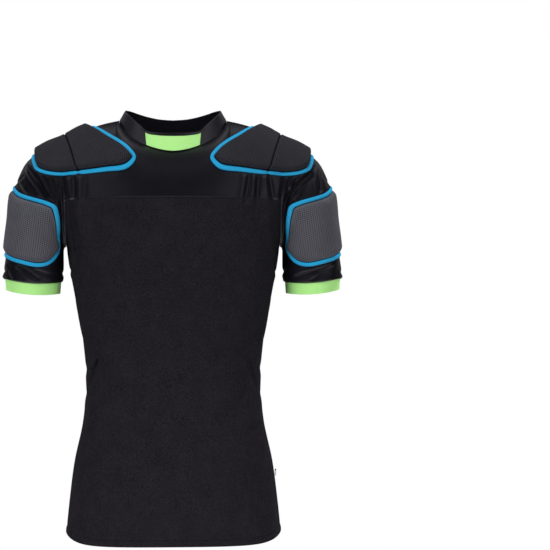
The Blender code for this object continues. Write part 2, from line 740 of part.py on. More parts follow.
def make_cuffs(sleeve, materials, parent):
    """Elastic bands inside the sleeve hems."""
    hem = sleeve[-1]
    centre = hem.mean(axis=0)
    out = hem - centre
    out /= np.linalg.norm(out, axis=1, keepdims=True)
    top = hem - out * (JERSEY_WALL + SEAM_GAP * 2)
    rows = []
    for share in (0.0, 0.35, 1.0):
        drop = CUFF_DEPTH * share - CUFF_TUCK * (1 - share)
        row = top - out * CUFF_PULL_IN * share
        rows.append(row - np.array([0, 0, drop]))
    cuff = np.array(rows)
    points, faces = wall_panel(cuff, CUFF_WALL, True, centre)
    make_pair("cuff", points, faces, materials["green_elastic"], parent)


def make_collar(materials, parent):
    middle = (0, 0, -0.02)
    points, faces = wall_panel(collar_surface(), COLLAR_WALL, True, middle)
    make_object("collar", points, faces, materials["yoke_jersey"], parent)
    base = insert_surface()
    normals = facing_out(base, grid_normals(base, False), middle)
    inner = base + normals * SEAM_GAP
    points, faces = walled_mesh(inner + normals * INSERT_WALL, inner, False)
    make_object("collar_front_insert", points, faces, materials["green_elastic"], parent)


def make_label(materials, parent):
    """A small folded label in the side seam, lying back along the side."""
    seam_x = float(torso("half_width", LABEL_HEIGHT - LABEL_TALL / 2)) + SEAM_GAP
    way = np.array([math.sin(LABEL_TURN), math.cos(LABEL_TURN), 0])
    across = np.array([math.cos(LABEL_TURN), -math.sin(LABEL_TURN), 0])
    grid = []
    for height in (LABEL_HEIGHT - LABEL_TALL / 2, LABEL_HEIGHT + LABEL_TALL / 2):
        root = np.array([seam_x, LABEL_BEHIND, height])
        grid.append([root, root + way * LABEL_LONG])
    inner = np.array(grid)
    points, faces = walled_mesh(inner + across * LABEL_WALL, inner, False)
    make_object("side_label", points, faces, materials["label_weave"], parent)


def make_garment():
    materials = make_materials()
    garment = bpy.data.objects.new("garment", None)
    bpy.context.scene.collection.objects.link(garment)
    chest = (0, 0, -0.25)
    surfaces = {}
    for side, word in ((FRONT, "front"), (BACK, "back")):
        body, yoke = body_surface(side), yoke_surface(side)
        surfaces[word] = yoke
        points, faces = wall_panel(body, JERSEY_WALL, False, chest)
        make_object(word + "_body", points, faces, materials["body_jersey"], garment)
        points, faces = wall_panel(yoke, JERSEY_WALL, False, chest)
        make_object(word + "_yoke", points, faces, materials["yoke_jersey"], garment)
    sleeve = sleeve_surface()
    points, faces = wall_panel(sleeve, JERSEY_WALL, True, sleeve.mean(axis=(0, 1)))
    make_pair("sleeve", points, faces, materials["yoke_jersey"], garment)
    make_cuffs(sleeve, materials, garment)
    make_collar(materials, garment)
    skin = skin_tree((surfaces["front"], False), (surfaces["back"], False), (sleeve, True))
    make_pads(skin, materials, garment)
    make_label(materials, garment)


def main():
    for old in list(bpy.data.objects):
        bpy.data.objects.remove(old, do_unlink=True)
    make_garment()


main()
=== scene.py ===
"""Looks of the rugby shoulder pads: creased cloth with its seams, foam pads, trim, elastic and stitching.

Metres, +Z up, +Y towards the back, the wearer's left at +X, as in the solids that these pieces stand for.
Each panel is a fine grid of points on the garment's surface, which is creased, pulled in at its seams and
given a wall. The pads are worked out on flat maps of the shoulder and the sleeve.
"""

import math

import bpy
import numpy as np
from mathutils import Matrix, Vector
from mathutils.bvhtree import BVHTree
from mathutils.kdtree import KDTree


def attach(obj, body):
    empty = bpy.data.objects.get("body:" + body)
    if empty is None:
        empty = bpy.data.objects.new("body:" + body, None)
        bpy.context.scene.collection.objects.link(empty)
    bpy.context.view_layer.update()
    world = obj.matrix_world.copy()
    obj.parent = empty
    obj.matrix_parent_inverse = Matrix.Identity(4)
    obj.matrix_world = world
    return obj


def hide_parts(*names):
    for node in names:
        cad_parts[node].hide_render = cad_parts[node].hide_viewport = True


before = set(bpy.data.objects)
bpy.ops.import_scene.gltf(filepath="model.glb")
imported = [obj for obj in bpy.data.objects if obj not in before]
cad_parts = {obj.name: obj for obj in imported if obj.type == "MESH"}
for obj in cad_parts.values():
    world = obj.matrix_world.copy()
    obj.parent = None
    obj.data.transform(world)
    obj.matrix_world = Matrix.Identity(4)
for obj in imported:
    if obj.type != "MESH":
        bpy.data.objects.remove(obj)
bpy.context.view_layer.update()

FRONT, BACK = -1, 1
QUARTER_TURN = math.pi / 2
TINY = 1e-12
MIRROR = np.array([-1.0, 1.0, 1.0])
HANDS = {"left": np.ones(3), "right": MIRROR}

# Camera: it stands level with the chest and looks at the middle of the picture
CAMERA_PLACE = (0.0, -3.5, -0.133)
CAMERA_AIM = (0.173, 0.0, -0.260)
CAMERA_LENS = 134.7
CAMERA_SENSOR = 36.0

# Walls, gaps and seams
JERSEY_WALL = 0.0012
BODY_WALL = 0.0018
COLLAR_WALL = 0.0018
CUFF_WALL = 0.0016
INSERT_WALL = 0.0010
SEAM_GAP = 0.0003
SEAM_SINK, SEAM_REACH = 0.0006, 0.0018
LIP_LEAST = 0.08

# Turned-up hem of the body with its rows of stitches, and the turned-in edges inside the side seams
HEM_STITCHES = (0.0072, 0.0098)
HEM_PUFF, HEM_PUFF_PAST, HEM_PUFF_EASE = 0.0010, 0.0010, 0.0020
STITCH_SINK, STITCH_REACH = 0.0013, 0.0013
SEAM_TURN_START, SEAM_TURN_COLUMNS = 4, 6
SEAM_TURN_DEPTHS = (0.0006, 0.0011)

# Heights of the seams and edges, below the neck points
HEM = -0.692
HEM_DIP = 0.0135
HEM_ROUND = 10
ARMPIT = -0.212
SHOULDER_TIP = -0.0335
SHOULDER_RISE = 0.0055
YOKE_CENTRE = {FRONT: -0.128, BACK: -0.135}
YOKE_EDGE = {FRONT: -0.133, BACK: -0.155}
YOKE_EDGE_CURVE = 4

# Cross-sections of the body, bottom to top: the side seams lie at y = 0
TORSO_COLUMNS = ("height", "half_width", "front", "back", "squareness")
TORSO = (
    (-0.710, 0.1835, 0.117, 0.113, 3.1),
    (-0.640, 0.1765, 0.115, 0.112, 2.9),
    (-0.575, 0.1680, 0.111, 0.108, 2.8),
    (-0.507, 0.1535, 0.105, 0.099, 2.7),
    (-0.440, 0.1480, 0.101, 0.093, 2.6),
    (-0.371, 0.1530, 0.104, 0.097, 2.5),
    (-0.303, 0.1650, 0.112, 0.107, 2.5),
    (-0.212, 0.1800, 0.119, 0.116, 2.5),
    (-0.125, 0.1810, 0.116, 0.120, 2.5),
)
WAIST = -0.40
CHEST = (0, 0, -0.25)

# Armhole seam: an upright loop between the armpit and the shoulder tip
ARMHOLE_BOTTOM_X = 0.180
ARMHOLE_TOP_X = 0.184
ARMHOLE_TOP_Y = 0.004
ARMHOLE_SIDE_X = {FRONT: 0.180, BACK: 0.187}
ARMHOLE_DEPTH = {FRONT: 0.072, BACK: 0.078}

# Sleeve sections from the armhole to the hem: the ends of each section in the front view, and its depth
SLEEVE_COLUMNS = ("outer_x", "outer_z", "inner_x", "inner_z", "front", "back", "centre_y")
SLEEVE = (
    (0.1840, -0.0335, 0.1800, -0.2120, 0.0720, 0.0780, 0.000),
    (0.2155, -0.0470, 0.1820, -0.2125, 0.0690, 0.0740, 0.000),
    (0.2445, -0.0662, 0.1835, -0.2135, 0.0650, 0.0690, 0.000),
    (0.2600, -0.0930, 0.1845, -0.2160, 0.0620, 0.0640, 0.000),
    (0.2700, -0.1240, 0.1850, -0.2200, 0.0600, 0.0610, -0.001),
    (0.2732, -0.1650, 0.1850, -0.2300, 0.0580, 0.0580, -0.002),
    (0.2803, -0.2150, 0.1850, -0.2480, 0.0560, 0.0560, -0.003),
    (0.2868, -0.2600, 0.1860, -0.2674, 0.0545, 0.0545, -0.004),
    (0.2856, -0.2668, 0.1875, -0.2738, 0.0530, 0.0530, -0.004),
)
SLEEVE_HEM_TILT = -0.03
SLEEVE_HEM_ARCH, SLEEVE_ARCH_LEVEL = 0.0045, 0.5
SLEEVE_WIDEST = 0.5
SLEEVE_STITCH = 0.0030

# Elastic cuff: tucked inside the sleeve hem
CUFF_TUCK = 0.0025
CUFF_DEPTH = 0.0195
CUFF_PULL_IN = 0.0016
CUFF_RIBS = 13
RIB_HEIGHT = 0.00016

# Neckline seam, and the collar above it: centre front, centre back, and the neck point at the side
NECK_POINT = (0.091, 0.008, 0.002)
NECK_CENTRE = {FRONT: (0.0, -0.076, -0.0526), BACK: (0.0, 0.072, -0.022)}
NECK_CURVE = {FRONT: 1.2, BACK: 1.0}
COLLAR_SIDE_X = 0.081
COLLAR_SIDE_Y = 0.006
COLLAR_GAP = 0.0005
COLLAR_TUCK = ((0.0, 0.0002), (0.0012, 0.0008), (0.0026, 0.0016))
COLLAR_CENTRE_Y = {FRONT: -0.062, BACK: 0.064}
NECK_TURN = math.radians(50)
NECK_SPREAD = 1.12
NECK_STITCH = 0.0026
NECK_PATCH_HALF, NECK_PATCH_TOP, NECK_PATCH_LOW = 0.041, 0.0030, 0.0110
COLLAR_MIDDLE = (0, 0, -0.02)

# Upper edge of the collar: degrees from the centre front, and height
COLLAR_EDGE = (
    (0, -0.0200), (20, -0.0192), (34, -0.0158), (43, -0.0068), (56, 0.0036), (67, 0.0108), (78, 0.0160),
    (92, 0.0195), (105, 0.0200), (119, 0.0186), (133, 0.0150), (147, 0.0108), (163, 0.0068), (180, 0.0052),
)

# Elastic insert at the front of the collar, between shares of the collar's height
INSERT_TURN_LOW, INSERT_TURN_HIGH = math.radians(33), math.radians(35)
INSERT_LOW, INSERT_HIGH = 0.05, 0.80
INSERT_RIBS = 15

# Largest folds, as the solids have them: face, start x and z, end x and z in its view, half width, depth
FOLDS = (
    (BACK, 0.088, -0.180, 0.136, -0.450, 0.018, 0.0060),
    (BACK, 0.118, -0.200, 0.156, -0.430, 0.016, -0.0030),
    (BACK, 0.148, -0.165, 0.172, -0.280, 0.013, 0.0045),
    (BACK, 0.244, -0.112, 0.200, -0.200, 0.012, 0.0045),
    (BACK, 0.172, -0.116, 0.194, -0.175, 0.011, 0.0035),
    (FRONT, 0.214, -0.094, 0.198, -0.136, 0.010, 0.0030),
    (FRONT, 0.156, -0.180, 0.172, -0.280, 0.014, 0.0035),
    (FRONT, 0.112, -0.380, 0.142, -0.470, 0.014, 0.0030),
    (FRONT, 0.1825, -0.105, 0.1815, -0.260, 0.011, 0.0130),
    (BACK, 0.1910, -0.130, 0.1860, -0.260, 0.011, 0.0070),
)
FOLD_FACE_DEPTH = 0.035
FOLD_ENDS = 0.35

# Views: the two axes that a view shows, and the way towards the viewer
VIEWS = {
    "front": ([0, 2], (0, -1, 0)),
    "back": ([0, 2], (0, 1, 0)),
    "left": ([1, 2], (1, 0, 0)),
    "right": ([1, 2], (-1, 0, 0)),
    "top": ([0, 1], (0, 0, 1)),
}
VIEW_FAR = 1.0
VIEW_NUDGE = 0.0008

# Creases: the path of a trough in its view, its half width and its depth
FRONT_CREASES = (
    (((-0.187, -0.098), (-0.184, -0.130), (-0.182, -0.165), (-0.183, -0.204)), 0.0060, 0.0042),
    (((-0.166, -0.082), (-0.164, -0.118), (-0.160, -0.150)), 0.0044, 0.0024),
    (((-0.145, -0.082), (-0.146, -0.118), (-0.150, -0.146)), 0.0050, 0.0016),
    (((-0.164, -0.244), (-0.161, -0.214), (-0.1635, -0.190), (-0.1675, -0.164),
      (-0.167, -0.124)), 0.0050, 0.0100),
    (((-0.250, -0.066), (-0.242, -0.080), (-0.224, -0.106), (-0.209, -0.129),
      (-0.198, -0.146)), 0.0042, 0.0064),
    (((-0.232, -0.082), (-0.214, -0.1156), (-0.202, -0.135), (-0.194, -0.148)), 0.0032, 0.0030),
    (((-0.220, -0.084), (-0.204, -0.118), (-0.1957, -0.1423)), 0.0032, 0.0036),
    (((-0.206, -0.086), (-0.197, -0.116), (-0.192, -0.140)), 0.0032, 0.0026),
    (((-0.262, -0.078), (-0.256, -0.100), (-0.240, -0.128)), 0.0032, 0.0026),
    (((-0.281, -0.236), (-0.274, -0.250), (-0.264, -0.268)), 0.0032, 0.0028),
    (((-0.266, -0.238), (-0.246, -0.250), (-0.222, -0.266)), 0.0034, 0.0040),
    (((-0.236, -0.246), (-0.214, -0.255), (-0.192, -0.258)), 0.0032, 0.0016),
    (((-0.1215, -0.388), (-0.1290, -0.410), (-0.1360, -0.430), (-0.1430, -0.452)), 0.0032, 0.0064),
    (((-0.1320, -0.404), (-0.1380, -0.424), (-0.1430, -0.440)), 0.0032, 0.0024),
    (((-0.1300, -0.510), (-0.1400, -0.518), (-0.1500, -0.528)), 0.0032, 0.0050),
    (((0.129, -0.076), (0.123, -0.112), (0.117, -0.148)), 0.0044, 0.0026),
    (((0.142, -0.076), (0.140, -0.112), (0.137, -0.148)), 0.0042, 0.0030),
    (((0.158, -0.076), (0.163, -0.112), (0.169, -0.148)), 0.0044, 0.0032),
    (((0.191, -0.096), (0.187, -0.130), (0.184, -0.160), (0.183, -0.204)), 0.0060, 0.0044),
    (((0.246, -0.066), (0.239, -0.075), (0.224, -0.092), (0.205, -0.108), (0.193, -0.125),
      (0.188, -0.146)), 0.0042, 0.0066),
    (((0.240, -0.088), (0.222, -0.100), (0.210, -0.114), (0.200, -0.136)), 0.0032, 0.0036),
    (((0.242, -0.072), (0.2445, -0.090), (0.248, -0.126)), 0.0032, 0.0030),
    (((0.247, -0.066), (0.256, -0.090), (0.268, -0.118)), 0.0032, 0.0030),
    (((0.200, -0.082), (0.195, -0.096), (0.190, -0.122)), 0.0032, 0.0036),
    (((0.216, -0.082), (0.206, -0.096), (0.197, -0.112)), 0.0032, 0.0028),
    (((0.167, -0.150), (0.170, -0.186), (0.178, -0.216)), 0.0055, 0.0044),
    (((0.1240, -0.392), (0.1290, -0.413), (0.1350, -0.438), (0.1410, -0.456)), 0.0032, 0.0056),
    (((0.1250, -0.520), (0.1360, -0.514), (0.1480, -0.503)), 0.0032, 0.0050),
    (((0.278, -0.236), (0.236, -0.252), (0.196, -0.264)), 0.0034, 0.0040),
    (((0.266, -0.244), (0.248, -0.256), (0.226, -0.270)), 0.0032, 0.0014),
    (((0.286, -0.240), (0.276, -0.254), (0.268, -0.268)), 0.0032, 0.0024),
    (((-0.070, -0.505), (-0.020, -0.518), (0.050, -0.512)), 0.0120, 0.0009),
    (((0.060, -0.560), (0.100, -0.600), (0.120, -0.660)), 0.0140, 0.0010),
    (((-0.090, -0.585), (-0.115, -0.640), (-0.120, -0.690)), 0.0140, 0.0011),
)
BACK_CREASES = (
    (((-0.151, -0.090), (-0.160, -0.104), (-0.175, -0.1275), (-0.190, -0.1466)), 0.0032, 0.0034),
    (((-0.164, -0.094), (-0.171, -0.1084), (-0.1836, -0.1296), (-0.1943, -0.1500)), 0.0032, 0.0040),
    (((-0.258, -0.080), (-0.2559, -0.0956), (-0.2537, -0.1254), (-0.2431, -0.1488),
      (-0.2261, -0.1721)), 0.0045, 0.0066),
    (((-0.2450, -0.104), (-0.2346, -0.1296), (-0.2218, -0.1509), (-0.2080, -0.1700)), 0.0032, 0.0040),
    (((-0.2090, -0.110), (-0.2102, -0.1445), (-0.2091, -0.1700), (-0.2006, -0.1890)), 0.0034, 0.0042),
    (((-0.2240, -0.108), (-0.2180, -0.1403), (-0.2100, -0.1640)), 0.0032, 0.0028),
    (((-0.2015, -0.142), (-0.2000, -0.168), (-0.1975, -0.190), (-0.1930, -0.216)), 0.0036, 0.0064),
    (((-0.2440, -0.175), (-0.2218, -0.1976), (-0.2006, -0.2125)), 0.0032, 0.0044),
    (((-0.2350, -0.170), (-0.2133, -0.1913), (-0.1985, -0.2040)), 0.0032, 0.0030),
    (((-0.2660, -0.221), (-0.2346, -0.2444), (-0.2060, -0.2660)), 0.0036, 0.0034),
    (((-0.2835, -0.2444), (-0.2771, -0.2640)), 0.0032, 0.0024),
    (((-0.1460, -0.440), (-0.1340, -0.370), (-0.1231, -0.3145), (-0.1199, -0.2890),
      (-0.1135, -0.2635), (-0.1050, -0.2338), (-0.0990, -0.2180)), 0.0064, 0.0110),
    (((-0.1150, -0.2680), (-0.1050, -0.2338), (-0.0944, -0.2083), (-0.0905, -0.1880),
      (-0.0880, -0.1640)), 0.0044, 0.0080),
    (((-0.0820, -0.175), (-0.0923, -0.2338), (-0.0997, -0.2678), (-0.1080, -0.3300)), 0.0034, 0.0036),
    (((-0.1570, -0.164), (-0.1645, -0.1998), (-0.1690, -0.2400)), 0.0034, 0.0100),
    (((-0.1680, -0.166), (-0.1709, -0.1955), (-0.1751, -0.2210), (-0.1790, -0.2500)), 0.0034, 0.0100),
    (((-0.1410, -0.205), (-0.1496, -0.2423), (-0.1581, -0.2635), (-0.1680, -0.3000)), 0.0054, 0.0140),
    (((-0.1580, -0.276), (-0.1709, -0.2550), (-0.1810, -0.2380)), 0.0036, 0.0070),
    (((-0.116, -0.400), (-0.136, -0.448), (-0.150, -0.480)), 0.0070, 0.0044),
    (((-0.060, -0.540), (-0.090, -0.600), (-0.104, -0.680)), 0.0140, 0.0020),
)
SIDE_CREASES = (
    (((-0.052, -0.392), (-0.012, -0.418), (0.046, -0.404)), 0.0080, 0.0014),
    (((-0.040, -0.446), (0.004, -0.462), (0.050, -0.440)), 0.0080, 0.0012),
    (((-0.020, -0.300), (-0.010, -0.345), (-0.028, -0.384)), 0.0060, 0.0036),
    (((0.030, -0.290), (0.018, -0.330), (0.036, -0.372)), 0.0060, 0.0040),
    (((-0.036, -0.088), (-0.010, -0.104), (0.016, -0.100)), 0.0036, 0.0018),
    (((0.024, -0.096), (0.040, -0.130), (0.042, -0.170)), 0.0048, 0.0026),
    (((-0.030, -0.246), (-0.002, -0.254), (0.030, -0.248)), 0.0040, 0.0020),
)
CREASES = (("front", FRONT_CREASES), ("back", BACK_CREASES), ("right", SIDE_CREASES))

# Creases of the back and the side that are repeated opposite: view there, turn of the path's first axis
OPPOSITE = {"back": ("back", -1), "right": ("left", 1)}
OPPOSITE_SHIFT = 0.004
OPPOSITE_DEPTH = (0.75, 1.15)
random_draws = np.random.default_rng(7)

# Section of a crease, how it runs out, and which way the cloth has to face to take it
CREASE_STEPS = 48
CREASE_REACH = 4.5
CREASE_ENDS = 0.24
RIDGE_SHARE, RIDGE_OFFSET, RIDGE_WIDTH = 0.42, 1.9, 1.2
STOP_START, STOP_EASE = 0.0012, 0.0050
FACING_LOW, FACING_RANGE = 0.15, 0.45

# Foam pads: points of their edges, each run of points after the view that shows it
SHOULDER_PAD_EDGE = (
    ("top", (0.133, 0.002)),
    ("front", (0.110, -0.0200), (0.071, -0.0468), (0.0612, -0.0625), (0.074, -0.0798), (0.110, -0.0858),
     (0.156, -0.0903), (0.205, -0.0910), (0.228, -0.0835), (0.2345, -0.0732)),
    ("top", (0.2380, 0.002)),
    ("back", (0.2370, -0.0840), (0.2330, -0.1030), (0.2120, -0.1130), (0.1820, -0.1040), (0.1400, -0.0760),
     (0.1180, -0.0460), (0.1160, -0.0220)),
)
SHOULDER_GROOVE = (
    ("front", (0.156, -0.0815), (0.166, -0.0520)),
    ("top", (0.178, 0.002)),
    ("back", (0.180, -0.0550), (0.1690, -0.0860)),
)
SHOULDER_CORNERS = {
    "inner": (("front", (0.066, -0.062)), ("back", (0.118, -0.036))),
    "outer": (("front", (0.230, -0.080)), ("back", (0.231, -0.104))),
}
ARM_PAD_EDGE = (
    ("left", (-0.002, -0.1090)),
    ("front", (0.2520, -0.1220), (0.2100, -0.1342), (0.1945, -0.1420), (0.1905, -0.1570), (0.1900, -0.1880),
     (0.1912, -0.2130), (0.1972, -0.2300), (0.2095, -0.2410), (0.2260, -0.2440), (0.2600, -0.2370)),
    ("left", (-0.002, -0.2275)),
    ("back", (0.2690, -0.2330), (0.2560, -0.2120), (0.2500, -0.1750), (0.2490, -0.1420), (0.2600, -0.1190)),
)
ARM_PAD_CORNERS = (
    ("front", (0.196, -0.150), (0.197, -0.232)),
    ("back", (0.264, -0.227), (0.253, -0.128)),
)

# Foam: its thickness, the width of its bevel, and the share of the thickness left at its edge
SHOULDER_FOAM = (0.0110, 0.0060, 0.38)
ARM_FOAM = (0.0064, 0.0110, 0.26)
BEVEL_CURVE = 2.4
REST_GAP = 0.0010
PAD_BASE = 0.0004
PAD_CROWN, PAD_CROWN_REACH = 0.0008, 0.035
GROOVE_BEVEL, GROOVE_EDGE_RISE = 0.0026, 0.70
GROOVE_GAP = 0.0010
GROOVE_CLEAR = 0.0030

# Trim: a bead of slanting threads between two dark borders of navy thread deepened with painted shade,
# pinched at the ends of the groove
TRIM_WIDTH = 0.0068
TRIM_TOP, TRIM_BASE = 0.0030, 0.0003
TRIM_BEAD, TRIM_BEAD_ARC, TRIM_BEAD_ROUND = 0.0064, 0.94, 0.7
TRIM_BORDER, TRIM_BORDER_TOP = 0.0014, 0.0009
TRIM_BORDER_SHAPE = ((1.0, 0.0), (0.92, 1.0), (0.06, 1.0))
TRIM_THREAD, TRIM_THREAD_HEIGHT = 0.0016, 0.00022
TRIM_PAD_GAP = 0.0012
PINCH_SHARE, PINCH_SINK, PINCH_REACH = 0.45, 0.0010, 0.0030

# Core lines inside the shoulder and the sleeve, round which the pads are mapped
SHOULDER_CORE = ((0.050, 0.005, -0.060), (0.250, 0.005, -0.150))
SHOULDER_RADIUS = 0.085
ARM_CORE = ((0.214, 0.0, -0.100), (0.238, 0.0, -0.270))
ARM_RADIUS = 0.056
CHART_STEP = 0.002
CHART_MARGIN = 0.016
CLOTH_CALM, FOAM_CALM = 2, 20

# Mesh cloth over foam: rows of small hollows, darkened with painted shade, which fade out towards the foam's
# edge
MESH_PITCH = 0.0034
MESH_HOLLOW = 0.00032
MESH_TURN = 4 * math.pi / (math.sqrt(3) * MESH_PITCH)
MESH_WAYS = tuple((math.cos(math.radians(way)), math.sin(math.radians(way))) for way in (90, 210, 330))
MESH_FROM, MESH_TO = 0.0, 0.65
MESH_OPEN_FROM, MESH_OPEN_EASE = 0.45, 0.35

# Woven label in the wearer's left side seam
LABEL_HEIGHT = -0.598
LABEL_TALL = 0.011
LABEL_LONG = 0.010
LABEL_PLY = 0.0003
LABEL_FOLD = 0.0004
LABEL_BEHIND = 0.002
LABEL_TURN = math.radians(14)
LABEL_BORDER = 0.0022

# Grid sizes
HALF_COLUMNS = 96
HEM_ROW_STEP, HEM_ROWS = 0.001, 14
BODY_LOW_ROWS = 146
ARMHOLE_LOW_ROWS = 46
YOKE_NECK_COLUMNS, YOKE_SHOULDER_COLUMNS = 66, 56
YOKE_ROWS = 84
SLEEVE_ROWS = 168
COLLAR_ROWS, COLLAR_COLUMNS = 16, 40
CUFF_ROWS = 54
INSERT_COLUMNS, INSERT_ROWS = 90, 60
LABEL_ROWS, LABEL_COLUMNS, LABEL_BEND_STEPS = 16, 12, 9
SHOULDER_EDGE_STEPS, ARM_EDGE_STEPS, GROOVE_STEPS = 840, 640, 160
TRIM_BEAD_ROWS, TRIM_TOP_ROW = 9, 6
PAD_STEP = 0.00115
CLOTH_HIDDEN_STEP, PAD_HIDDEN_STEP = 3, 4
CURVE_STEPS, SECTION_STEPS = 16, 3000
BATCH = 64

# Rows close to seams and open lips, and the rough lengths of the panels that have them
SEAM_ROWS = (0.0004, 0.0010, 0.0018, 0.0030)
LIP_ROWS = (0.00006, 0.0002)
YOKE_TALL, SLEEVE_LONG, COLLAR_TALL = 0.17, 0.2, 0.03

# Sewing thread: one stitch is a short arched strand, given by rings along it and their share of its thickness
STITCH_PITCH = 0.0030
STITCH_LONG = 0.0023
STITCH_RADIUS = 0.00026
STITCH_ARCH = 0.00022
STITCH_LIFT = 0.6
STITCH_SIDES = 6
STITCH_RINGS = ((-0.5, 0.25), (-0.36, 0.8), (0.0, 1.0), (0.36, 0.8), (0.5, 0.25))
SHARP_EDGE = math.radians(55)

# Knit: the slant, share and depth of its loops, and how uneven its colour and roughness are
SHEEN_TINT = (0.90, 0.86, 1.0, 1.0)
LOOP_SLANT, LOOP_SHARE, LOOP_DEPTH = 0.6, 0.35, 0.25
GRAIN_SCALE, GRAIN = 380.0, 6.0
BROAD_SCALE, BROAD = 38.0, 2.0
ROUGH_SCALE, ROUGH_RANGE = 210.0, 0.10
UNEVEN_SHARE, COLUMN_SHARE = 0.4, 0.2

# Soft lights all round: degrees from the camera's side and above the horizon, strength, degrees wide
LIGHTS = {
    "fill": (
        (-46, 28, 2.20, 24),
        (40, 24, 1.60, 28),
        (-142, 22, 1.80, 24),
        (136, 34, 3.30, 14),
        (0, 75, 0.5, 60),
    ),
    "sheen": (
        (-68, 48, 0.29, 36),
        (68, 48, 0.31, 36),
        (-132, 46, 0.27, 40),
        (132, 46, 0.27, 40),
        (-42, 8, 0.08, 30),
        (42, 8, 0.12, 30),
        (-150, 10, 0.08, 36),
        (150, 10, 0.08, 36),
    ),
}
WORLD_SEEN, WORLD_FILL = 1.0, 0.16

# Floor: a pale disc well below the hem that fades out towards its rim
FLOOR_HEIGHT, FLOOR_RADIUS, FLOOR_FADE_FROM, FLOOR_SIDES = -1.15, 2.3, 0.6, 96
FLOOR_WHITE = (0.86, 0.86, 0.86)


def smooth(knots, values, at):
    """A smooth curve through the rows of a table, read at one or many places."""
    knots = np.asarray(knots, float)
    values = np.asarray(values, float)
    at = np.asarray(at, float)
    slopes = np.gradient(values, knots)
    low = np.clip(np.searchsorted(knots, at) - 1, 0, len(knots) - 2)
    step = knots[low + 1] - knots[low]
    t = np.clip((at - knots[low]) / step, 0, 1)
    start = (2 * t**3 - 3 * t**2 + 1) * values[low] + (t**3 - 2 * t**2 + t) * step * slopes[low]
    end = (3 * t**2 - 2 * t**3) * values[low + 1] + (t**3 - t**2) * step * slopes[low + 1]
    return start + end


def smooth_line(knots, points, at):
    """A smooth curve through points of a plane."""
    return np.stack([smooth(knots, values, at) for values in points.T], axis=1)


def distance_along(points):
    """How far each point is from the first, along a line or along each column of a grid."""
    steps = np.linalg.norm(np.diff(points, axis=0), axis=-1)
    return np.concatenate([np.zeros_like(steps[:1]), np.cumsum(steps, axis=0)])


def read_line(line, at):
    """Points of a line of straight steps, at distances along it, and what else the line's rows hold."""
    length = distance_along(line[:, :3])
    return np.stack([np.interp(at, length, values) for values in line.T], axis=1)


def unit(vectors):
    """The vectors with a length of 1."""
    return vectors / np.maximum(np.linalg.norm(vectors, axis=-1, keepdims=True), TINY)


def nearest_to(line, spot):
    """Which point of a line is nearest to a spot."""
    return int(np.argmin(np.linalg.norm(line - spot, axis=1)))


def torso(column, height):
    """One size of the body's section at a height."""
    knots = [row[0] for row in TORSO]
    values = [row[TORSO_COLUMNS.index(column)] for row in TORSO]
    return smooth(knots, values, height)


def sleeve_size(column, along):
    """One size of the sleeve's section, from 0 at the armhole to 1 at the hem."""
    knots = np.linspace(0, 1, len(SLEEVE))
    values = [row[SLEEVE_COLUMNS.index(column)] for row in SLEEVE]
    return smooth(knots, values, along)


def soft_step(share):
    """Rises from 0 to 1 with level ends."""
    share = np.clip(share, 0, 1)
    return share * share * (3 - 2 * share)


def seam_shares(count, length, low_seam=(), high_seam=()):
    """Shares from 0 to 1, with closer ones at given distances from either end."""
    shares = list(np.linspace(0, 1, count + 1))
    shares += [near / length for near in low_seam] + [1 - near / length for near in high_seam]
    return np.array(sorted(set(shares)))


def fold_cloth(points):
    """Moves points of the surface along y, into the troughs of the largest folds."""
    points = np.array(points, float)
    x, y, z = np.abs(points[..., 0]), points[..., 1].copy(), points[..., 2]
    for face, from_x, from_z, to_x, to_z, half_width, depth in FOLDS:
        run_x, run_z = to_x - from_x, to_z - from_z
        length_squared = run_x**2 + run_z**2
        share = ((x - from_x) * run_x + (z - from_z) * run_z) / length_squared
        held = np.clip(share, 0, 1)
        away = np.hypot(x - from_x - held * run_x, z - from_z - held * run_z)
        ends = soft_step(share / FOLD_ENDS) * soft_step((1 - share) / FOLD_ENDS)
        facing = soft_step(face * y / FOLD_FACE_DEPTH)
        points[..., 1] -= face * depth * np.exp(-((away / half_width) ** 2)) * ends * facing
    return points


def body_row(side, across, height, lift):
    """One level of the front or back, across from -1 to 1; lift is the share from armpit to yoke seam."""
    turn = lift * QUARTER_TURN
    edge_depth = ARMHOLE_DEPTH[side] * math.sin(turn)
    squareness = torso("squareness", height)
    roundness = 1 / squareness + (1 - 1 / squareness) * soft_step(lift)
    half_width = torso("half_width", height)
    if lift > 0:
        side_move = ARMHOLE_SIDE_X[side] - ARMHOLE_BOTTOM_X
        half_width = np.full_like(across, ARMHOLE_BOTTOM_X + side_move * math.sin(turn))
    depth = torso("front" if side == FRONT else "back", height)
    crown = (1 - np.minimum(np.abs(across), 1) ** squareness) ** roundness
    y = side * (edge_depth + (depth - edge_depth) * crown + SEAM_GAP / 2)
    return np.stack([across * half_width, y, height], axis=-1)


def armpit_to_yoke(side, across, lift):
    """One level between the armpit and the yoke seam: its ends climb the armhole."""
    turn = lift * QUARTER_TURN
    centre = ARMPIT + (YOKE_CENTRE[side] - ARMPIT) * lift
    edge = YOKE_EDGE[side] - (YOKE_EDGE[side] - ARMPIT) * math.cos(turn)
    return body_row(side, across, centre + (edge - centre) * np.abs(across) ** YOKE_EDGE_CURVE, lift)


def even_across(side):
    """Places across the body, from -1 to 1, evenly spaced round its section at the waist."""
    close = np.sin(np.linspace(0, QUARTER_TURN, SECTION_STEPS))
    length = distance_along(body_row(side, close, np.full_like(close, WAIST), 0.0))
    half = np.interp(seam_shares(HALF_COLUMNS, length[-1], high_seam=SEAM_ROWS) * length[-1], length, close)
    return np.concatenate([-half[:0:-1], half])


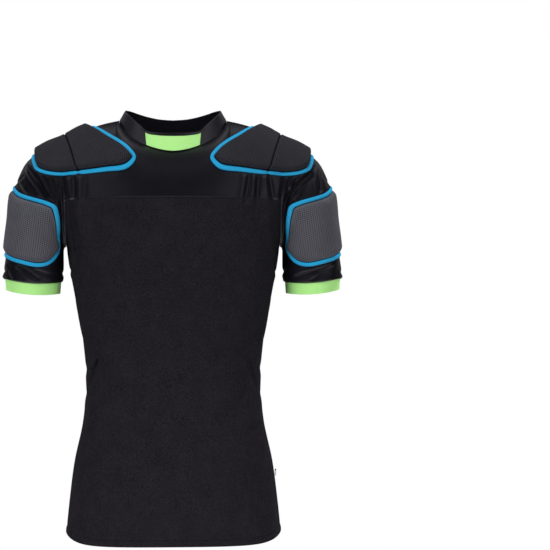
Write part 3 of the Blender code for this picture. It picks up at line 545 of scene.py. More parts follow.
def body_surface(side):
    """The front or back from the hem to the yoke seam."""
    across = even_across(side)
    shares = seam_shares(HALF_COLUMNS, ARMHOLE_SIDE_X[side], high_seam=SEAM_ROWS)
    at_yoke = np.concatenate([-shares[:0:-1], shares])
    hem = HEM - HEM_DIP * (1 - np.abs(across) ** HEM_ROUND)
    tall = ARMPIT - HEM
    near_hem = np.concatenate([[0], LIP_ROWS, SEAM_ROWS[:1], np.arange(1, HEM_ROWS) * HEM_ROW_STEP]) / tall
    rows = []
    for share in np.concatenate([near_hem, np.linspace(HEM_ROWS * HEM_ROW_STEP / tall, 1, BODY_LOW_ROWS)]):
        rows.append(body_row(side, across, hem + (ARMPIT - hem) * share, 0.0))
    for lift in seam_shares(ARMHOLE_LOW_ROWS, YOKE_CENTRE[side] - ARMPIT, high_seam=SEAM_ROWS)[1:]:
        rows.append(armpit_to_yoke(side, across + (at_yoke - across) * soft_step(lift), lift))
    rows[-1][..., 2] -= SEAM_GAP
    return fold_cloth(np.array(rows))


def neckline(side, turn):
    """A point of the neckline seam: turn 0 is the centre, a quarter turn the neck point."""
    centre, curve = NECK_CENTRE[side], NECK_CURVE[side]
    forward = max(math.cos(turn), 0.0)
    x = NECK_POINT[0] * math.sin(turn) ** curve
    y = NECK_POINT[1] + (centre[1] - NECK_POINT[1]) * forward
    z = NECK_POINT[2] + (centre[2] - NECK_POINT[2]) * forward**curve
    return np.array([x, y, z])


def collar_edge(side, turn):
    """A point of the collar's upper edge, at the same turn."""
    degrees, heights = zip(*COLLAR_EDGE)
    from_front = math.degrees(turn if side == FRONT else math.pi - turn)
    x = COLLAR_SIDE_X * math.sin(turn)
    y = COLLAR_SIDE_Y + (COLLAR_CENTRE_Y[side] - COLLAR_SIDE_Y) * math.cos(turn)
    return np.array([x, y, float(smooth(degrees, heights, from_front))])


def yoke_half(side):
    """The yoke from its centre line to the armhole, at +X: columns of rows from the yoke seam up."""
    neck_share = NECK_POINT[0] * NECK_SPREAD / ARMHOLE_SIDE_X[side]
    shoulder_long = ARMHOLE_TOP_X - NECK_POINT[0]
    neck_parts = np.linspace(0, 1, YOKE_NECK_COLUMNS + 1)
    shoulder_parts = seam_shares(YOKE_SHOULDER_COLUMNS, shoulder_long, high_seam=SEAM_ROWS)[1:]
    across = np.concatenate([neck_parts * neck_share, neck_share + (1 - neck_share) * shoulder_parts])
    lower = armpit_to_yoke(side, across, 1.0)
    tip = np.array([ARMHOLE_TOP_X, ARMHOLE_TOP_Y, SHOULDER_TIP])
    rows = seam_shares(YOKE_ROWS, YOKE_TALL, SEAM_ROWS, SEAM_ROWS)
    columns = []
    for index, start in enumerate(lower):
        if index <= YOKE_NECK_COLUMNS:
            share = neck_parts[index]
            end = neckline(side, share * QUARTER_TURN)
            bend = NECK_TURN + (QUARTER_TURN - NECK_TURN) * soft_step(share)
        else:
            share = shoulder_parts[index - YOKE_NECK_COLUMNS - 1]
            end = np.array(NECK_POINT) + (tip - np.array(NECK_POINT)) * share
            end[2] += SHOULDER_RISE * math.sin(math.pi * share)
            bend = QUARTER_TURN
        end = end + np.array([0, side * SEAM_GAP / 2, 0])
        turn = (rows * bend)[:, None]
        run = (1 - np.cos(turn)) / (1 - math.cos(bend))
        rise = np.sin(turn) / math.sin(bend)
        columns.append(start + (end - start) * np.hstack([run, run, rise]))
    return np.array(columns)


def yoke_surface(side):
    """The whole yoke, from armhole to armhole."""
    half = yoke_half(side)
    whole = np.concatenate([half[:0:-1] * MIRROR, half])
    return fold_cloth(whole.transpose(1, 0, 2))


def loop_turns():
    """Round a sleeve section from the armpit, over the front: side, upper half or not, share of a quarter."""
    low = np.linspace(0, 1, ARMHOLE_LOW_ROWS + 1)
    high = np.linspace(0, 1, YOKE_ROWS + 1)
    front = [(FRONT, False, share) for share in low] + [(FRONT, True, share) for share in high[1:]]
    back = [(BACK, True, share) for share in high[-2:0:-1]] + [(BACK, False, share) for share in low[:0:-1]]
    return front + back


def armhole_point(side, upper, share):
    """A point of the armhole seam, as the body's edge has it."""
    turn = share * QUARTER_TURN
    widest = np.array([ARMHOLE_SIDE_X[side], side * ARMHOLE_DEPTH[side], YOKE_EDGE[side]])
    if upper:
        run, rise = 1 - math.cos(turn), math.sin(turn)
        end = np.array([ARMHOLE_TOP_X, ARMHOLE_TOP_Y, SHOULDER_TIP])
        return widest + (end - widest) * np.array([run, run, rise])
    start = np.array([ARMHOLE_BOTTOM_X, 0, ARMPIT])
    run, rise = math.sin(turn), 1 - math.cos(turn)
    return start + (widest - start) * np.array([run, run, rise])


def sleeve_loop(along):
    """One section of the sleeve at +X."""
    inner = np.array([sleeve_size("inner_x", along), 0, sleeve_size("inner_z", along)])
    outer = np.array([sleeve_size("outer_x", along), 0, sleeve_size("outer_z", along)])
    centre_y = sleeve_size("centre_y", along)
    depths = {FRONT: sleeve_size("front", along), BACK: sleeve_size("back", along)}
    points = []
    for side, upper, share in loop_turns():
        armhole_widest = (YOKE_EDGE[side] - ARMPIT) / (SHOULDER_TIP - ARMPIT)
        widest = SLEEVE_WIDEST + (armhole_widest - SLEEVE_WIDEST) * (1 - along) ** 2
        turn = share * QUARTER_TURN
        if upper:
            up, out = widest + (1 - widest) * math.sin(turn), math.cos(turn)
        else:
            up, out = widest * (1 - math.cos(turn)), math.sin(turn)
        point = inner + (outer - inner) * up
        point[1] = centre_y + side * depths[side] * out
        points.append(point)
    return np.array(points)


def sleeve_surface():
    """The sleeve at +X, from the armhole seam to its hem."""
    seam = np.array([armhole_point(*turn) for turn in loop_turns()])
    correction = seam - sleeve_loop(0.0)
    rows = []
    for along in seam_shares(SLEEVE_ROWS, SLEEVE_LONG, SEAM_ROWS, LIP_ROWS + SEAM_ROWS):
        loop = sleeve_loop(along) + correction * (1 - along) ** 3
        ends = 1 - (loop[:, 1] / np.abs(loop[:, 1]).max()) ** 2
        arch = SLEEVE_HEM_ARCH * (ends - SLEEVE_ARCH_LEVEL)
        loop[:, 2] += SLEEVE_HEM_TILT * along**2 * loop[:, 1] + arch * along**4
        rows.append(loop + np.array([SEAM_GAP, 0, 0]))
    return fold_cloth(np.array(rows))


def collar_surface():
    """The collar from the neckline seam to its upper edge, round from the centre front."""
    turns = np.linspace(0, QUARTER_TURN, COLLAR_COLUMNS + 1)
    half = [(FRONT, turn) for turn in turns] + [(BACK, turn) for turn in turns[-2::-1]]
    low = np.array([neckline(*place) for place in half])
    high = np.array([collar_edge(*place) for place in half])
    low, high = (np.concatenate([line, line[-2:0:-1] * MIRROR]) for line in (low, high))
    start = low + unit(high - low) * COLLAR_GAP
    inward = unit(-low * np.array([1, 1, 0]))
    tucked = [start + inward * aside - np.array([0, 0, drop]) for drop, aside in COLLAR_TUCK[::-1]]
    shares = seam_shares(COLLAR_ROWS, COLLAR_TALL, SEAM_ROWS, LIP_ROWS + SEAM_ROWS)
    return np.array(tucked + [start + (high - start) * share for share in shares])


def insert_surface():
    """The front of the collar that the green insert covers."""
    rows = []
    for share in np.linspace(INSERT_LOW, INSERT_HIGH, INSERT_ROWS + 1):
        widest = INSERT_TURN_LOW + (INSERT_TURN_HIGH - INSERT_TURN_LOW) * share
        row = []
        for turn in np.linspace(-widest, widest, INSERT_COLUMNS + 1):
            low, high = neckline(FRONT, abs(turn)), collar_edge(FRONT, abs(turn))
            point = low + (high - low) * share
            row.append(point * np.array([math.copysign(1, turn), 1, 1]))
        rows.append(row)
    return np.array(rows)


def grid_normals(grid, closed):
    """Unit normals of a grid of points; a closed grid joins its last column to its first."""
    if closed:
        across = np.roll(grid, -1, axis=1) - np.roll(grid, 1, axis=1)
    else:
        across = np.gradient(grid, axis=1)
    return unit(np.cross(across, np.gradient(grid, axis=0)))


def outward_normals(grid, closed, inside):
    """Normals turned away from a point inside the garment."""
    normals = grid_normals(grid, closed)
    outward = ((grid - np.asarray(inside)) * normals).sum()
    return normals if outward > 0 else -normals


def edge_distances(grid):
    """How far each point is from the first row, the last row, the first column and the last column."""
    up = distance_along(grid)
    right = distance_along(grid.transpose(1, 0, 2)).T
    return {"first_row": up, "last_row": up[-1:] - up,
            "first_column": right, "last_column": right[:, -1:] - right}


def all_creases():
    """Every crease with its view; the back and side ones are repeated opposite, a little differently."""
    creases = [(view, *row) for view, rows in CREASES for row in rows]
    opposite = []
    for view, path, half_width, depth in creases:
        if view in OPPOSITE:
            other, turn = OPPOSITE[view]
            moved = np.array(path) * (turn, 1) + random_draws.uniform(-OPPOSITE_SHIFT, OPPOSITE_SHIFT, 2)
            opposite.append((other, moved, half_width, depth * random_draws.uniform(*OPPOSITE_DEPTH)))
    return creases + opposite


def crease_stops(lines):
    """A search tree over lines at +X and their mirror images, which creases run out before."""
    points = np.concatenate([line * mirror for line in lines for mirror in HANDS.values()])
    tree = KDTree(len(points))
    for index, point in enumerate(points):
        tree.insert(point, index)
    tree.balance()
    return tree


def crease(grid, closed, inside, creases, stops):
    """The grid with a trough along each crease's path and a lower ridge beside it, and its normals then."""
    normals = outward_normals(grid, closed, inside)
    moved = grid.copy()
    for view, path, half_width, depth in creases:
        axes, viewer = VIEWS[view]
        path, viewer = np.array(path), np.array(viewer)
        flat, facing = grid[..., axes], normals @ viewer
        room = CREASE_REACH * half_width
        near = ((flat > path.min(axis=0) - room) & (flat < path.max(axis=0) + room)).all(axis=-1)
        near &= facing > FACING_LOW
        if not near.any():
            continue
        knots = distance_along(path)
        at = np.linspace(0, knots[-1], CREASE_STEPS)
        line = smooth_line(knots, path, at)
        away = flat[near][:, None] - line[None]
        nearest = np.argmin((away**2).sum(axis=-1), axis=1)
        offset = away[np.arange(len(nearest)), nearest]
        run = unit(np.gradient(line, axis=0))[nearest]
        reach = (offset[:, 0] * run[:, 1] - offset[:, 1] * run[:, 0]) / half_width
        share = (at[nearest] + (offset * run).sum(axis=1)) / knots[-1]
        clear = np.array([stops.find(point)[2] for point in grid[near]])
        strength = soft_step(share / CREASE_ENDS) * soft_step((1 - share) / CREASE_ENDS)
        strength *= soft_step((facing[near] - FACING_LOW) / FACING_RANGE)
        strength *= soft_step((clear - STOP_START) / STOP_EASE)
        ridge = RIDGE_SHARE * np.exp(-(((reach - RIDGE_OFFSET) / RIDGE_WIDTH) ** 2))
        moved[near] -= viewer * (depth * (np.exp(-(reach**2)) - ridge) * strength)[:, None]
    return moved, outward_normals(moved, closed, inside)


def pull_in(grid, normals, edges):
    """The grid pulled in along its seams, as sewing draws cloth down."""
    distances = edge_distances(grid)
    sink = sum(np.exp(-((distances[edge] / SEAM_REACH) ** 2)) for edge in edges)
    return grid - normals * (SEAM_SINK * np.minimum(sink, 1))[..., None]


def numbered(rows, columns, first=0):
    """A grid of numbers, row by row."""
    return first + np.arange(rows * columns).reshape(rows, columns)


def grid_quads(numbers, closed):
    """Corner numbers of a grid's quads; a closed grid joins its last column to its first."""
    if closed:
        numbers = np.hstack([numbers, numbers[:, :1]])
    corners = [numbers[:-1, :-1], numbers[:-1, 1:], numbers[1:, 1:], numbers[1:, :-1]]
    return np.stack(corners, axis=-1).reshape(-1, 4)


def rims(numbers, closed):
    """The open edges of a grid, each a loop with the grid on its left."""
    if closed:
        return [numbers[0], numbers[-1][::-1]]
    return [np.concatenate([numbers[0], numbers[1:, -1], numbers[-1, -2::-1], numbers[-2:0:-1, 0]])]


def kept_steps(count, every, closed):
    """Which of the points in a row or column the hidden side of a wall keeps."""
    steps = np.arange(0, count, every)
    return steps if closed else np.union1d(steps, [count - 1])


def flat_map(grid, closed):
    """Places on the cloth in metres, for its weave: across from the middle column, up from the first row."""
    if closed:
        grid = np.concatenate([grid, grid[:, :1]], axis=1)
    across = distance_along(grid.transpose(1, 0, 2)).T
    middle = grid.shape[1] // 2
    return np.stack([across - across[:, middle : middle + 1], distance_along(grid)], axis=-1)


def linked(name, data):
    """An object in the scene."""
    thing = bpy.data.objects.new(name, data)
    bpy.context.scene.collection.objects.link(thing)
    return thing


def new_piece(name, points, faces, material, corner_map=None, marks=None):
    """A mesh object, with a UV map in metres and named values at its points."""
    mesh = bpy.data.meshes.new(name)
    mesh.from_pydata(points.tolist(), [], faces)
    if corner_map is not None:
        layer = mesh.uv_layers.new(name="cloth")
        layer.uv.foreach_set("vector", corner_map.astype(np.float32).ravel())
    for mark, values in (marks or {}).items():
        attribute = mesh.attributes.new(mark, "FLOAT", "POINT")
        attribute.data.foreach_set("value", values.astype(np.float32).ravel())
    mesh.shade_smooth()
    mesh.set_sharp_from_angle(angle=SHARP_EDGE)
    mesh.materials.append(material)
    return linked(name, mesh)


def between(values, steps, count):
    """Rows between the kept ones of a grid, one for each of the rows that it had."""
    at = np.interp(np.arange(count), steps, np.arange(len(steps)))
    low = np.minimum(at.astype(int), len(steps) - 2)
    share = (at - low)[:, None, None]
    return values[low] * (1 - share) + values[low + 1] * share


def hidden_side(outer, inner, some_rows, some_columns, every, closed):
    """The kept points of a wall's inner grid, moved further in where the flats between them would show."""
    rows, columns = outer.shape[:2]
    kept = np.ix_(some_rows, some_columns)
    wall = np.linalg.norm(outer - inner, axis=-1)
    way = (outer - inner) / wall[..., None]
    coarse, steps = inner[kept], some_columns
    if closed:
        coarse, steps = np.concatenate([coarse, coarse[:, :1]], axis=1), np.append(steps, columns)
    flats = between(between(coarse, some_rows, rows).transpose(1, 0, 2), steps, columns).transpose(1, 0, 2)
    lack = np.maximum(wall / 2 - ((outer - flats) * way).sum(axis=-1), 0)
    for axis in (0, 1):
        lack = np.max([np.roll(lack, shift, axis) for shift in range(-every, every + 1)], axis=0)
    return inner[kept] - (way * lack[..., None])[kept]


def wall_piece(name, outer, inner, closed, material, cloth_map=None, marks=None, every=CLOTH_HIDDEN_STEP):
    """A closed piece between two matching grids, the first facing out; the hidden one keeps fewer points."""
    rows, columns = outer.shape[:2]
    some_rows, some_columns = kept_steps(rows, every, False), kept_steps(columns, every, closed)
    kept = np.ix_(some_rows, some_columns)
    places = flat_map(outer, closed) if cloth_map is None else cloth_map
    front, spots = numbered(rows, columns), numbered(*places.shape[:2])
    back = numbered(len(some_rows), len(some_columns), front.size)
    back_spots = spots[np.ix_(some_rows, np.append(some_columns, columns) if closed else some_columns)]
    point_spots = np.concatenate([spots[:, :columns].ravel(), spots[kept].ravel()])
    faces = np.concatenate([grid_quads(front, closed), grid_quads(back, closed)[:, ::-1]]).tolist()
    face_spots = np.concatenate([grid_quads(spots, False), grid_quads(back_spots, False)[:, ::-1]]).tolist()
    for edge, stops, behind in zip(rims(front, closed), rims(front[kept], closed), rims(back, closed)):
        edge = np.roll(edge, -int(np.flatnonzero(edge == stops[0])[0]))
        cuts = [*np.flatnonzero(np.isin(edge, stops)), len(edge)]
        edge = np.append(edge, edge[0])
        for step, behind_end in enumerate(np.roll(behind, -1)):
            strip = [*edge[cuts[step] : cuts[step + 1] + 1][::-1], behind[step], behind_end]
            faces.append([int(point) for point in strip])
            face_spots.append(point_spots[strip].tolist())
    faced = (np.cross(outer[0, 1] - outer[0, 0], outer[1, 0] - outer[0, 0]) * (outer - inner)[0, 0]).sum()
    if faced < 0:
        faces, face_spots = [face[::-1] for face in faces], [spot[::-1] for spot in face_spots]
    corner_map = places.reshape(-1, 2)[np.concatenate(face_spots)]
    hidden = hidden_side(outer, inner, some_rows, some_columns, every, closed)
    points = np.concatenate([outer.reshape(-1, 3), hidden.reshape(-1, 3)])
    if marks:
        marks = {mark: np.append(values, values[kept]) for mark, values in marks.items()}
    return new_piece(name, points, faces, material, corner_map, marks)


def cloth_wall(grid, normals, wall, lip=None):
    """The outer and inner grids of a cloth wall, rounded off at the edge that is an open lip."""
    thick = np.ones(grid.shape[:2])
    if lip:
        reach = np.clip(edge_distances(grid)[lip] / (wall / 2), 0, 1)
        thick = np.clip(np.sqrt(reach * (2 - reach)), LIP_LEAST, 1)
    middle = grid - normals * wall / 2
    half = normals * (wall / 2 * thick)[..., None]
    return middle + half, middle - half


def dress(piece, node=None):
    """The piece hangs from the root and stands for a node of the solids, which it hides; sewing stands for
    none.
    """
    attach(piece, "root")
    if node:
        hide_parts(node)
    return piece


def line_along(grid, normals, distances, value):
    """A line at a fixed distance from an edge, one row for each column: its points, then its normals."""
    rows = []
    for at, column in zip(distances.T, np.concatenate([grid, normals], axis=-1).transpose(1, 0, 2)):
        order = np.argsort(at)
        rows.append([np.interp(value, at[order], values) for values in column[order].T])
    return np.array(rows)


def stitch_shape():
    """Points and quads of one stitch along x, its ends dipping into the cloth."""
    points = []
    for along, thick in STITCH_RINGS:
        drop = STITCH_ARCH * (2 * along) ** 2
        for turn in np.linspace(0, 2 * math.pi, STITCH_SIDES, endpoint=False):
            across, up = STITCH_RADIUS * thick * math.cos(turn), STITCH_RADIUS * thick * math.sin(turn)
            points.append((along * STITCH_LONG, across, up - drop))
    rings = numbered(len(STITCH_RINGS), STITCH_SIDES)
    caps = np.array([[0, 5, 2, 1], [5, 4, 3, 2]])
    quads = [grid_quads(rings, True), rings[0][caps], rings[-1][caps[:, ::-1]]]
    return np.array(points), np.concatenate(quads)


def stitching(name, lines, material):
    """Stitches along lines of points with normals, joined in one mesh."""
    shape, shape_quads = stitch_shape()
    stitches = []
    for line in lines:
        middles = np.arange(STITCH_PITCH / 2, distance_along(line[:, :3])[-1], STITCH_PITCH)
        places = (middles - STITCH_LONG / 2, middles, middles + STITCH_LONG / 2)
        start, middle, end = (read_line(line, at) for at in places)
        run = unit(end[:, :3] - start[:, :3])
        out = middle[:, 3:]
        out = unit(out - (out * run).sum(axis=1, keepdims=True) * run)
        frames = np.stack([run, np.cross(out, run), out], axis=1)
        stitches.append(shape @ frames + (middle[:, :3] + out * STITCH_RADIUS * STITCH_LIFT)[:, None])
    stitches = np.concatenate(stitches)
    starts = np.arange(len(stitches)) * len(shape)
    quads = (shape_quads[None] + starts[:, None, None]).reshape(-1, 4)
    return dress(new_piece(name, stitches.reshape(-1, 3), quads.tolist(), material))


class Nodes:
    """A material's shader and short ways to add nodes to it."""

    def __init__(self, name, colour, roughness, specular):
        self.material = bpy.data.materials.new(name)
        self.material.use_nodes = True
        self.tree = self.material.node_tree
        self.shader = self.tree.nodes["Principled BSDF"]
        self.shade(Base_Color=(*colour, 1.0), Roughness=roughness, Specular_IOR_Level=specular)

    def feed(self, socket, value):
        """Sets a socket to a value, or links another node's output to it."""
        if isinstance(value, bpy.types.NodeSocket):
            self.tree.links.new(value, socket)
        else:
            socket.default_value = value

    def shade(self, **inputs):
        """Sets or links inputs of the shader itself."""
        for name, value in inputs.items():
            self.feed(self.shader.inputs[name.replace("_", " ")], value)

    def add(self, kind, settings=None, **inputs):
        """A node with its settings, and its inputs by name or, as in i0, by number."""
        node = self.tree.nodes.new(kind)
        for setting, value in (settings or {}).items():
            setattr(node, setting, value)
        for name, value in inputs.items():
            self.feed(node.inputs[int(name[1:]) if name[1:].isdigit() else name], value)
        return node

    def math(self, operation, first, second=0.0, third=0.5):
        return self.add("ShaderNodeMath", {"operation": operation}, i0=first, i1=second, i2=third).outputs[0]

    def mix(self, share, first, second):
        """A colour between two, each a colour or an output."""
        first, second = ((*part, 1.0) if isinstance(part, tuple) else part for part in (first, second))
        return self.add("ShaderNodeMix", {"data_type": "RGBA"}, i0=share, i6=first, i7=second).outputs[2]

    def places(self):
        """The cloth's own places in metres, across and along."""
        spots = self.add("ShaderNodeUVMap", {"uv_map": "cloth"}).outputs[0]
        return self.add("ShaderNodeSeparateXYZ", None, Vector=spots).outputs[:2]

    def mark(self, name):
        """A value that the piece has at its points."""
        return self.add("ShaderNodeAttribute", {"attribute_name": name}).outputs["Fac"]

    def waves(self, along, pitch):
        """A wave from 0 to 1 of a real pitch along one measure."""
        turn = self.math("MULTIPLY", along, 2 * math.pi / pitch)
        return self.math("MULTIPLY_ADD", self.math("SINE", turn), 0.5)

    def spot(self):
        return self.add("ShaderNodeTexCoord").outputs["Object"]

    def noise(self, scale, detail=2.0):
        node = self.add("ShaderNodeTexNoise", None, Vector=self.spot(), Scale=scale, Detail=detail)
        return node.outputs["Fac"]

    def ramp(self, value, **ends):
        """A soft step between two values; inputs 1 to 4 are its ends."""
        node = self.add("ShaderNodeMapRange", {"interpolation_type": "SMOOTHSTEP"}, Value=value, **ends)
        return node.outputs[0]

    def bump(self, height, strength, distance):
        node = self.add("ShaderNodeBump", None, Height=height, Strength=strength, Distance=distance)
        self.shade(Normal=node.outputs[0])


def tone(colour, share):
    """A colour made darker or lighter."""
    return tuple(share * part for part in colour)


def knit_material(name, dark, light, roughness, specular, wale, course, relief):
    """Fine stretch knit: columns of small loops, a slightly uneven black."""
    nodes = Nodes(name, dark, roughness, specular)
    across, along = nodes.places()
    columns = nodes.math("ABSOLUTE", nodes.math("SINE", nodes.math("MULTIPLY", across, math.pi / wale)))
    slant = nodes.math("MULTIPLY", columns, course * LOOP_SLANT)
    loops = nodes.math("SINE", nodes.math("MULTIPLY", nodes.math("ADD", along, slant), 2 * math.pi / course))
    nodes.bump(nodes.math("MULTIPLY_ADD", loops, LOOP_SHARE, columns), relief, wale * LOOP_DEPTH)
    grain = nodes.math("MULTIPLY_ADD", nodes.noise(GRAIN_SCALE), GRAIN, (1 - GRAIN) / 2)
    broad = nodes.math("MULTIPLY_ADD", nodes.noise(BROAD_SCALE, detail=3.0), BROAD, (1 - BROAD) / 2)
    uneven = nodes.math("MULTIPLY", nodes.math("ADD", broad, grain), UNEVEN_SHARE)
    threads = nodes.math("MULTIPLY_ADD", columns, COLUMN_SHARE, uneven)
    rough = nodes.math("MULTIPLY_ADD", nodes.noise(ROUGH_SCALE), ROUGH_RANGE, roughness - ROUGH_RANGE / 2)
    nodes.shade(Base_Color=nodes.mix(threads, dark, light), Roughness=rough, Specular_Tint=SHEEN_TINT)
    return nodes.material


def mesh_material(name, hollow, thread):
    """Mesh cloth over foam: painted shade darkens the hollows between its threads."""
    weave, weave_share, darker, lighter = 0.0006, 0.5, 0.82, 1.15
    nodes = Nodes(name, thread, roughness=0.70, specular=0.03)
    across, along = nodes.places()
    waves = 0.0
    for way in MESH_WAYS:
        run = nodes.math("MULTIPLY_ADD", across, way[0], nodes.math("MULTIPLY", along, way[1]))
        waves = nodes.math("ADD", nodes.math("COSINE", nodes.math("MULTIPLY", run, MESH_TURN)), waves)
    hollows = nodes.ramp(waves, i1=len(MESH_WAYS) * MESH_FROM, i2=len(MESH_WAYS) * MESH_TO)
    depth = nodes.math("MULTIPLY", hollows, nodes.mark("open_mesh"))
    fine = nodes.waves(nodes.math("ADD", across, along), weave)
    height = nodes.math("MULTIPLY", nodes.math("SUBTRACT", fine, depth), weave_share)
    nodes.bump(height, strength=0.25, distance=0.0002)
    uneven = nodes.mix(nodes.noise(scale=55.0, detail=3.0), tone(thread, darker), tone(thread, lighter))
    # The hollow colour is painted shade, laid where the hollows are open.
    nodes.shade(Base_Color=nodes.mix(depth, uneven, hollow))
    return nodes.material


def trim_material(name, thread, border):
    """Bright seam thread between two dark edges of navy thread deepened with painted shade; the thread is
    darker in the dips between its strands and lighter on their crests, painted shade and highlight.
    """
    darker, lighter = 0.62, 1.08
    nodes = Nodes(name, thread, roughness=0.55, specular=0.3)
    # Darker in the dips between the slanting threads and lighter on their crests: painted shade and
    # highlight.
    shaded = nodes.mix(nodes.mark("strand"), tone(thread, darker), tone(thread, lighter))
    # The border colour is navy thread deepened with painted shade.
    nodes.shade(Base_Color=nodes.mix(nodes.mark("border"), shaded, border))
    nodes.bump(nodes.noise(scale=2400.0), strength=0.2, distance=0.0002)
    return nodes.material


def elastic_material(name, thread, shade, rib):
    """Woven elastic: cross ribs over fine upright threads, darkened with painted shade in the dips between
    them.
    """
    upright, rib_share = 0.0009, 0.7
    nodes = Nodes(name, thread, roughness=0.6, specular=0.25)
    across, along = nodes.places()
    uprights = nodes.math("MULTIPLY", nodes.waves(across, upright), 1 - rib_share)
    weave = nodes.math("MULTIPLY_ADD", nodes.waves(along, rib), rib_share, uprights)
    nodes.bump(weave, strength=0.3, distance=0.0002)
    # The shade colour is painted shade, laid in the dips of the weave.
    nodes.shade(Base_Color=nodes.mix(weave, shade, thread))
    return nodes.material


def label_material(name, pale, edge):
    """Woven label: pale satin with a dark upper edge."""
    thread, darker = 0.0005, 0.8
    nodes = Nodes(name, pale, roughness=0.65, specular=0.25)
    across, along = nodes.places()
    weave = nodes.math("MULTIPLY", nodes.waves(across, thread), nodes.waves(along, thread))
    nodes.bump(weave, strength=0.3, distance=0.0001)
    top = nodes.math("GREATER_THAN", along, LABEL_TALL - LABEL_BORDER)
    nodes.shade(Base_Color=nodes.mix(top, nodes.mix(weave, tone(pale, darker), pale), edge))
    return nodes.material


def thread_material(name, colour):
    """Sewing thread with a faint twist."""
    darker, lighter = 0.7, 1.3
    nodes = Nodes(name, colour, roughness=0.5, specular=0.3)
    twist = nodes.noise(scale=3000.0)
    nodes.bump(twist, strength=0.3, distance=0.0001)
    nodes.shade(Base_Color=nodes.mix(twist, tone(colour, darker), tone(colour, lighter)))
    return nodes.material


def make_materials():
    """Every finish, by the word that the pieces have for it."""
    smooth_knit = {"dark": (0.0028, 0.0027, 0.0040), "light": (0.0058, 0.0056, 0.0082),
                   "wale": 0.0007, "course": 0.0008, "relief": 0.20}
    return {
        "body": knit_material("body_jersey", dark=(0.0084, 0.0077, 0.0096), light=(0.0166, 0.0152, 0.0188),
                              wale=0.0010, course=0.0012, relief=0.35, roughness=0.85, specular=0.01),
        "yoke": knit_material("yoke_jersey", roughness=0.38, specular=0.90, **smooth_knit),
        "sleeve": knit_material("sleeve_jersey", roughness=0.40, specular=0.50, **smooth_knit),
        # The same mesh cloth in two tones, painted light and shade: the arm pads' copy is lighter for how
        # they face the lamps, and the shoulder pads' is darker. The first colour of each is painted shade for
        # the mesh's hollows.
        "shoulder_mesh_shaded": mesh_material("shoulder_pad_mesh_shaded", (0.004, 0.004, 0.006), (0.0280, 0.0276, 0.0337)),
        "arm_mesh_lit": mesh_material("arm_pad_mesh_lit", (0.004, 0.004, 0.005), (0.086, 0.085, 0.101)),
        # The trim's second colour is navy thread with painted shade in it.
        "trim": trim_material("trim_thread", (0.016, 0.335, 0.620), (0.0015, 0.014, 0.032)),
        # The elastic's second green is painted shade for the dips of its weave.
        "green": elastic_material("green_elastic", (0.430, 0.800, 0.275), (0.320, 0.660, 0.195),
                                  CUFF_DEPTH / CUFF_RIBS),
        "label": label_material("label_weave", (0.48, 0.48, 0.52), (0.03, 0.03, 0.035)),
        "black_thread": thread_material("black_thread", (0.010, 0.010, 0.012)),
        "grey_thread": thread_material("grey_thread", (0.090, 0.090, 0.098)),
    }


def side_seams(front, back, material):
    """The turned-in edges inside the side seams, from points and normals of the panels that meet there."""
    seams = []
    for hand, turn in (("left", -1), ("right", 1)):
        near = np.s_[SEAM_TURN_START:-ARMHOLE_LOW_ROWS:2, :SEAM_TURN_COLUMNS]
        points, outs = (np.concatenate([ahead[:, ::turn][near][:, ::-1], behind[:, ::turn][near]], axis=1)
                        for ahead, behind in zip(front, back))
        outer, inner = (points - outs * (BODY_WALL + depth) for depth in SEAM_TURN_DEPTHS)
        piece = wall_piece(f"side_seam_{hand}_turning", outer, inner, False, material, every=1)
        seams.append(dress(piece))
    return seams


def make_body(side, word, creases, stops, materials, joined=None):
    """The front or back below the yoke seam, with its hem; joined is the panel it is sewn to at the sides."""
    grid, normals = crease(body_surface(side), False, CHEST, creases, stops)
    from_hem = edge_distances(grid)["first_row"]
    puff = HEM_PUFF * soft_step((HEM_STITCHES[-1] + HEM_PUFF_PAST - from_hem) / HEM_PUFF_EASE)
    for line in HEM_STITCHES:
        puff -= STITCH_SINK * np.exp(-(((from_hem - line) / STITCH_REACH) ** 2))
    shaped = pull_in(grid, normals, ("last_row", "first_column", "last_column")) + normals * puff[..., None]
    outer, inner = cloth_wall(shaped, normals, BODY_WALL, "first_row")
    piece = wall_piece(f"{word}_body_cloth", outer, inner, False, materials["body"])
    dress(piece, f"{word}_body")
    lines = [line_along(outer, normals, from_hem, value) for value in HEM_STITCHES]
    sewing = [stitching(f"{word}_hem_stitches", lines, materials["black_thread"])]
    if joined is not None:
        sewing += side_seams(joined, (outer, normals), materials["body"])
    return outer, normals


def neck_patch(grid, normals, from_neck):
    """The stitched oblong below the back of the neck."""
    upper, lower = (line_along(grid, normals, from_neck, value) for value in (NECK_PATCH_TOP, NECK_PATCH_LOW))
    kept = np.abs(upper[:, 0]) <= NECK_PATCH_HALF
    lines = [upper[kept], lower[kept]]
    for end in (0, -1):
        column = np.flatnonzero(kept)[end]
        rows = (from_neck[:, column] > NECK_PATCH_TOP) & (from_neck[:, column] < NECK_PATCH_LOW)
        lines.append(np.hstack([grid[rows, column], normals[rows, column]]))
    return lines


def make_yoke(side, word, surface, creases, stops, materials):
    """The front or back yoke, from armhole to armhole."""
    grid, normals = crease(surface, False, CHEST, creases, stops)
    shaped = pull_in(grid, normals, ("first_row", "last_row", "first_column", "last_column"))
    outer, inner = cloth_wall(shaped, normals, JERSEY_WALL)
    piece = wall_piece(f"{word}_yoke_cloth", outer, inner, False, materials["yoke"])
    dress(piece, f"{word}_yoke")
    from_neck = edge_distances(outer)["last_row"]
    line = line_along(outer, normals, from_neck, NECK_STITCH)
    line = line[np.abs(line[:, 0]) < NECK_POINT[0]]
    sewing = [stitching(f"{word}_neck_stitches", [line], materials["black_thread"])]
    if side == BACK:
        lines = neck_patch(outer, normals, from_neck)
        sewing.append(stitching("neck_patch_stitches", lines, materials["grey_thread"]))


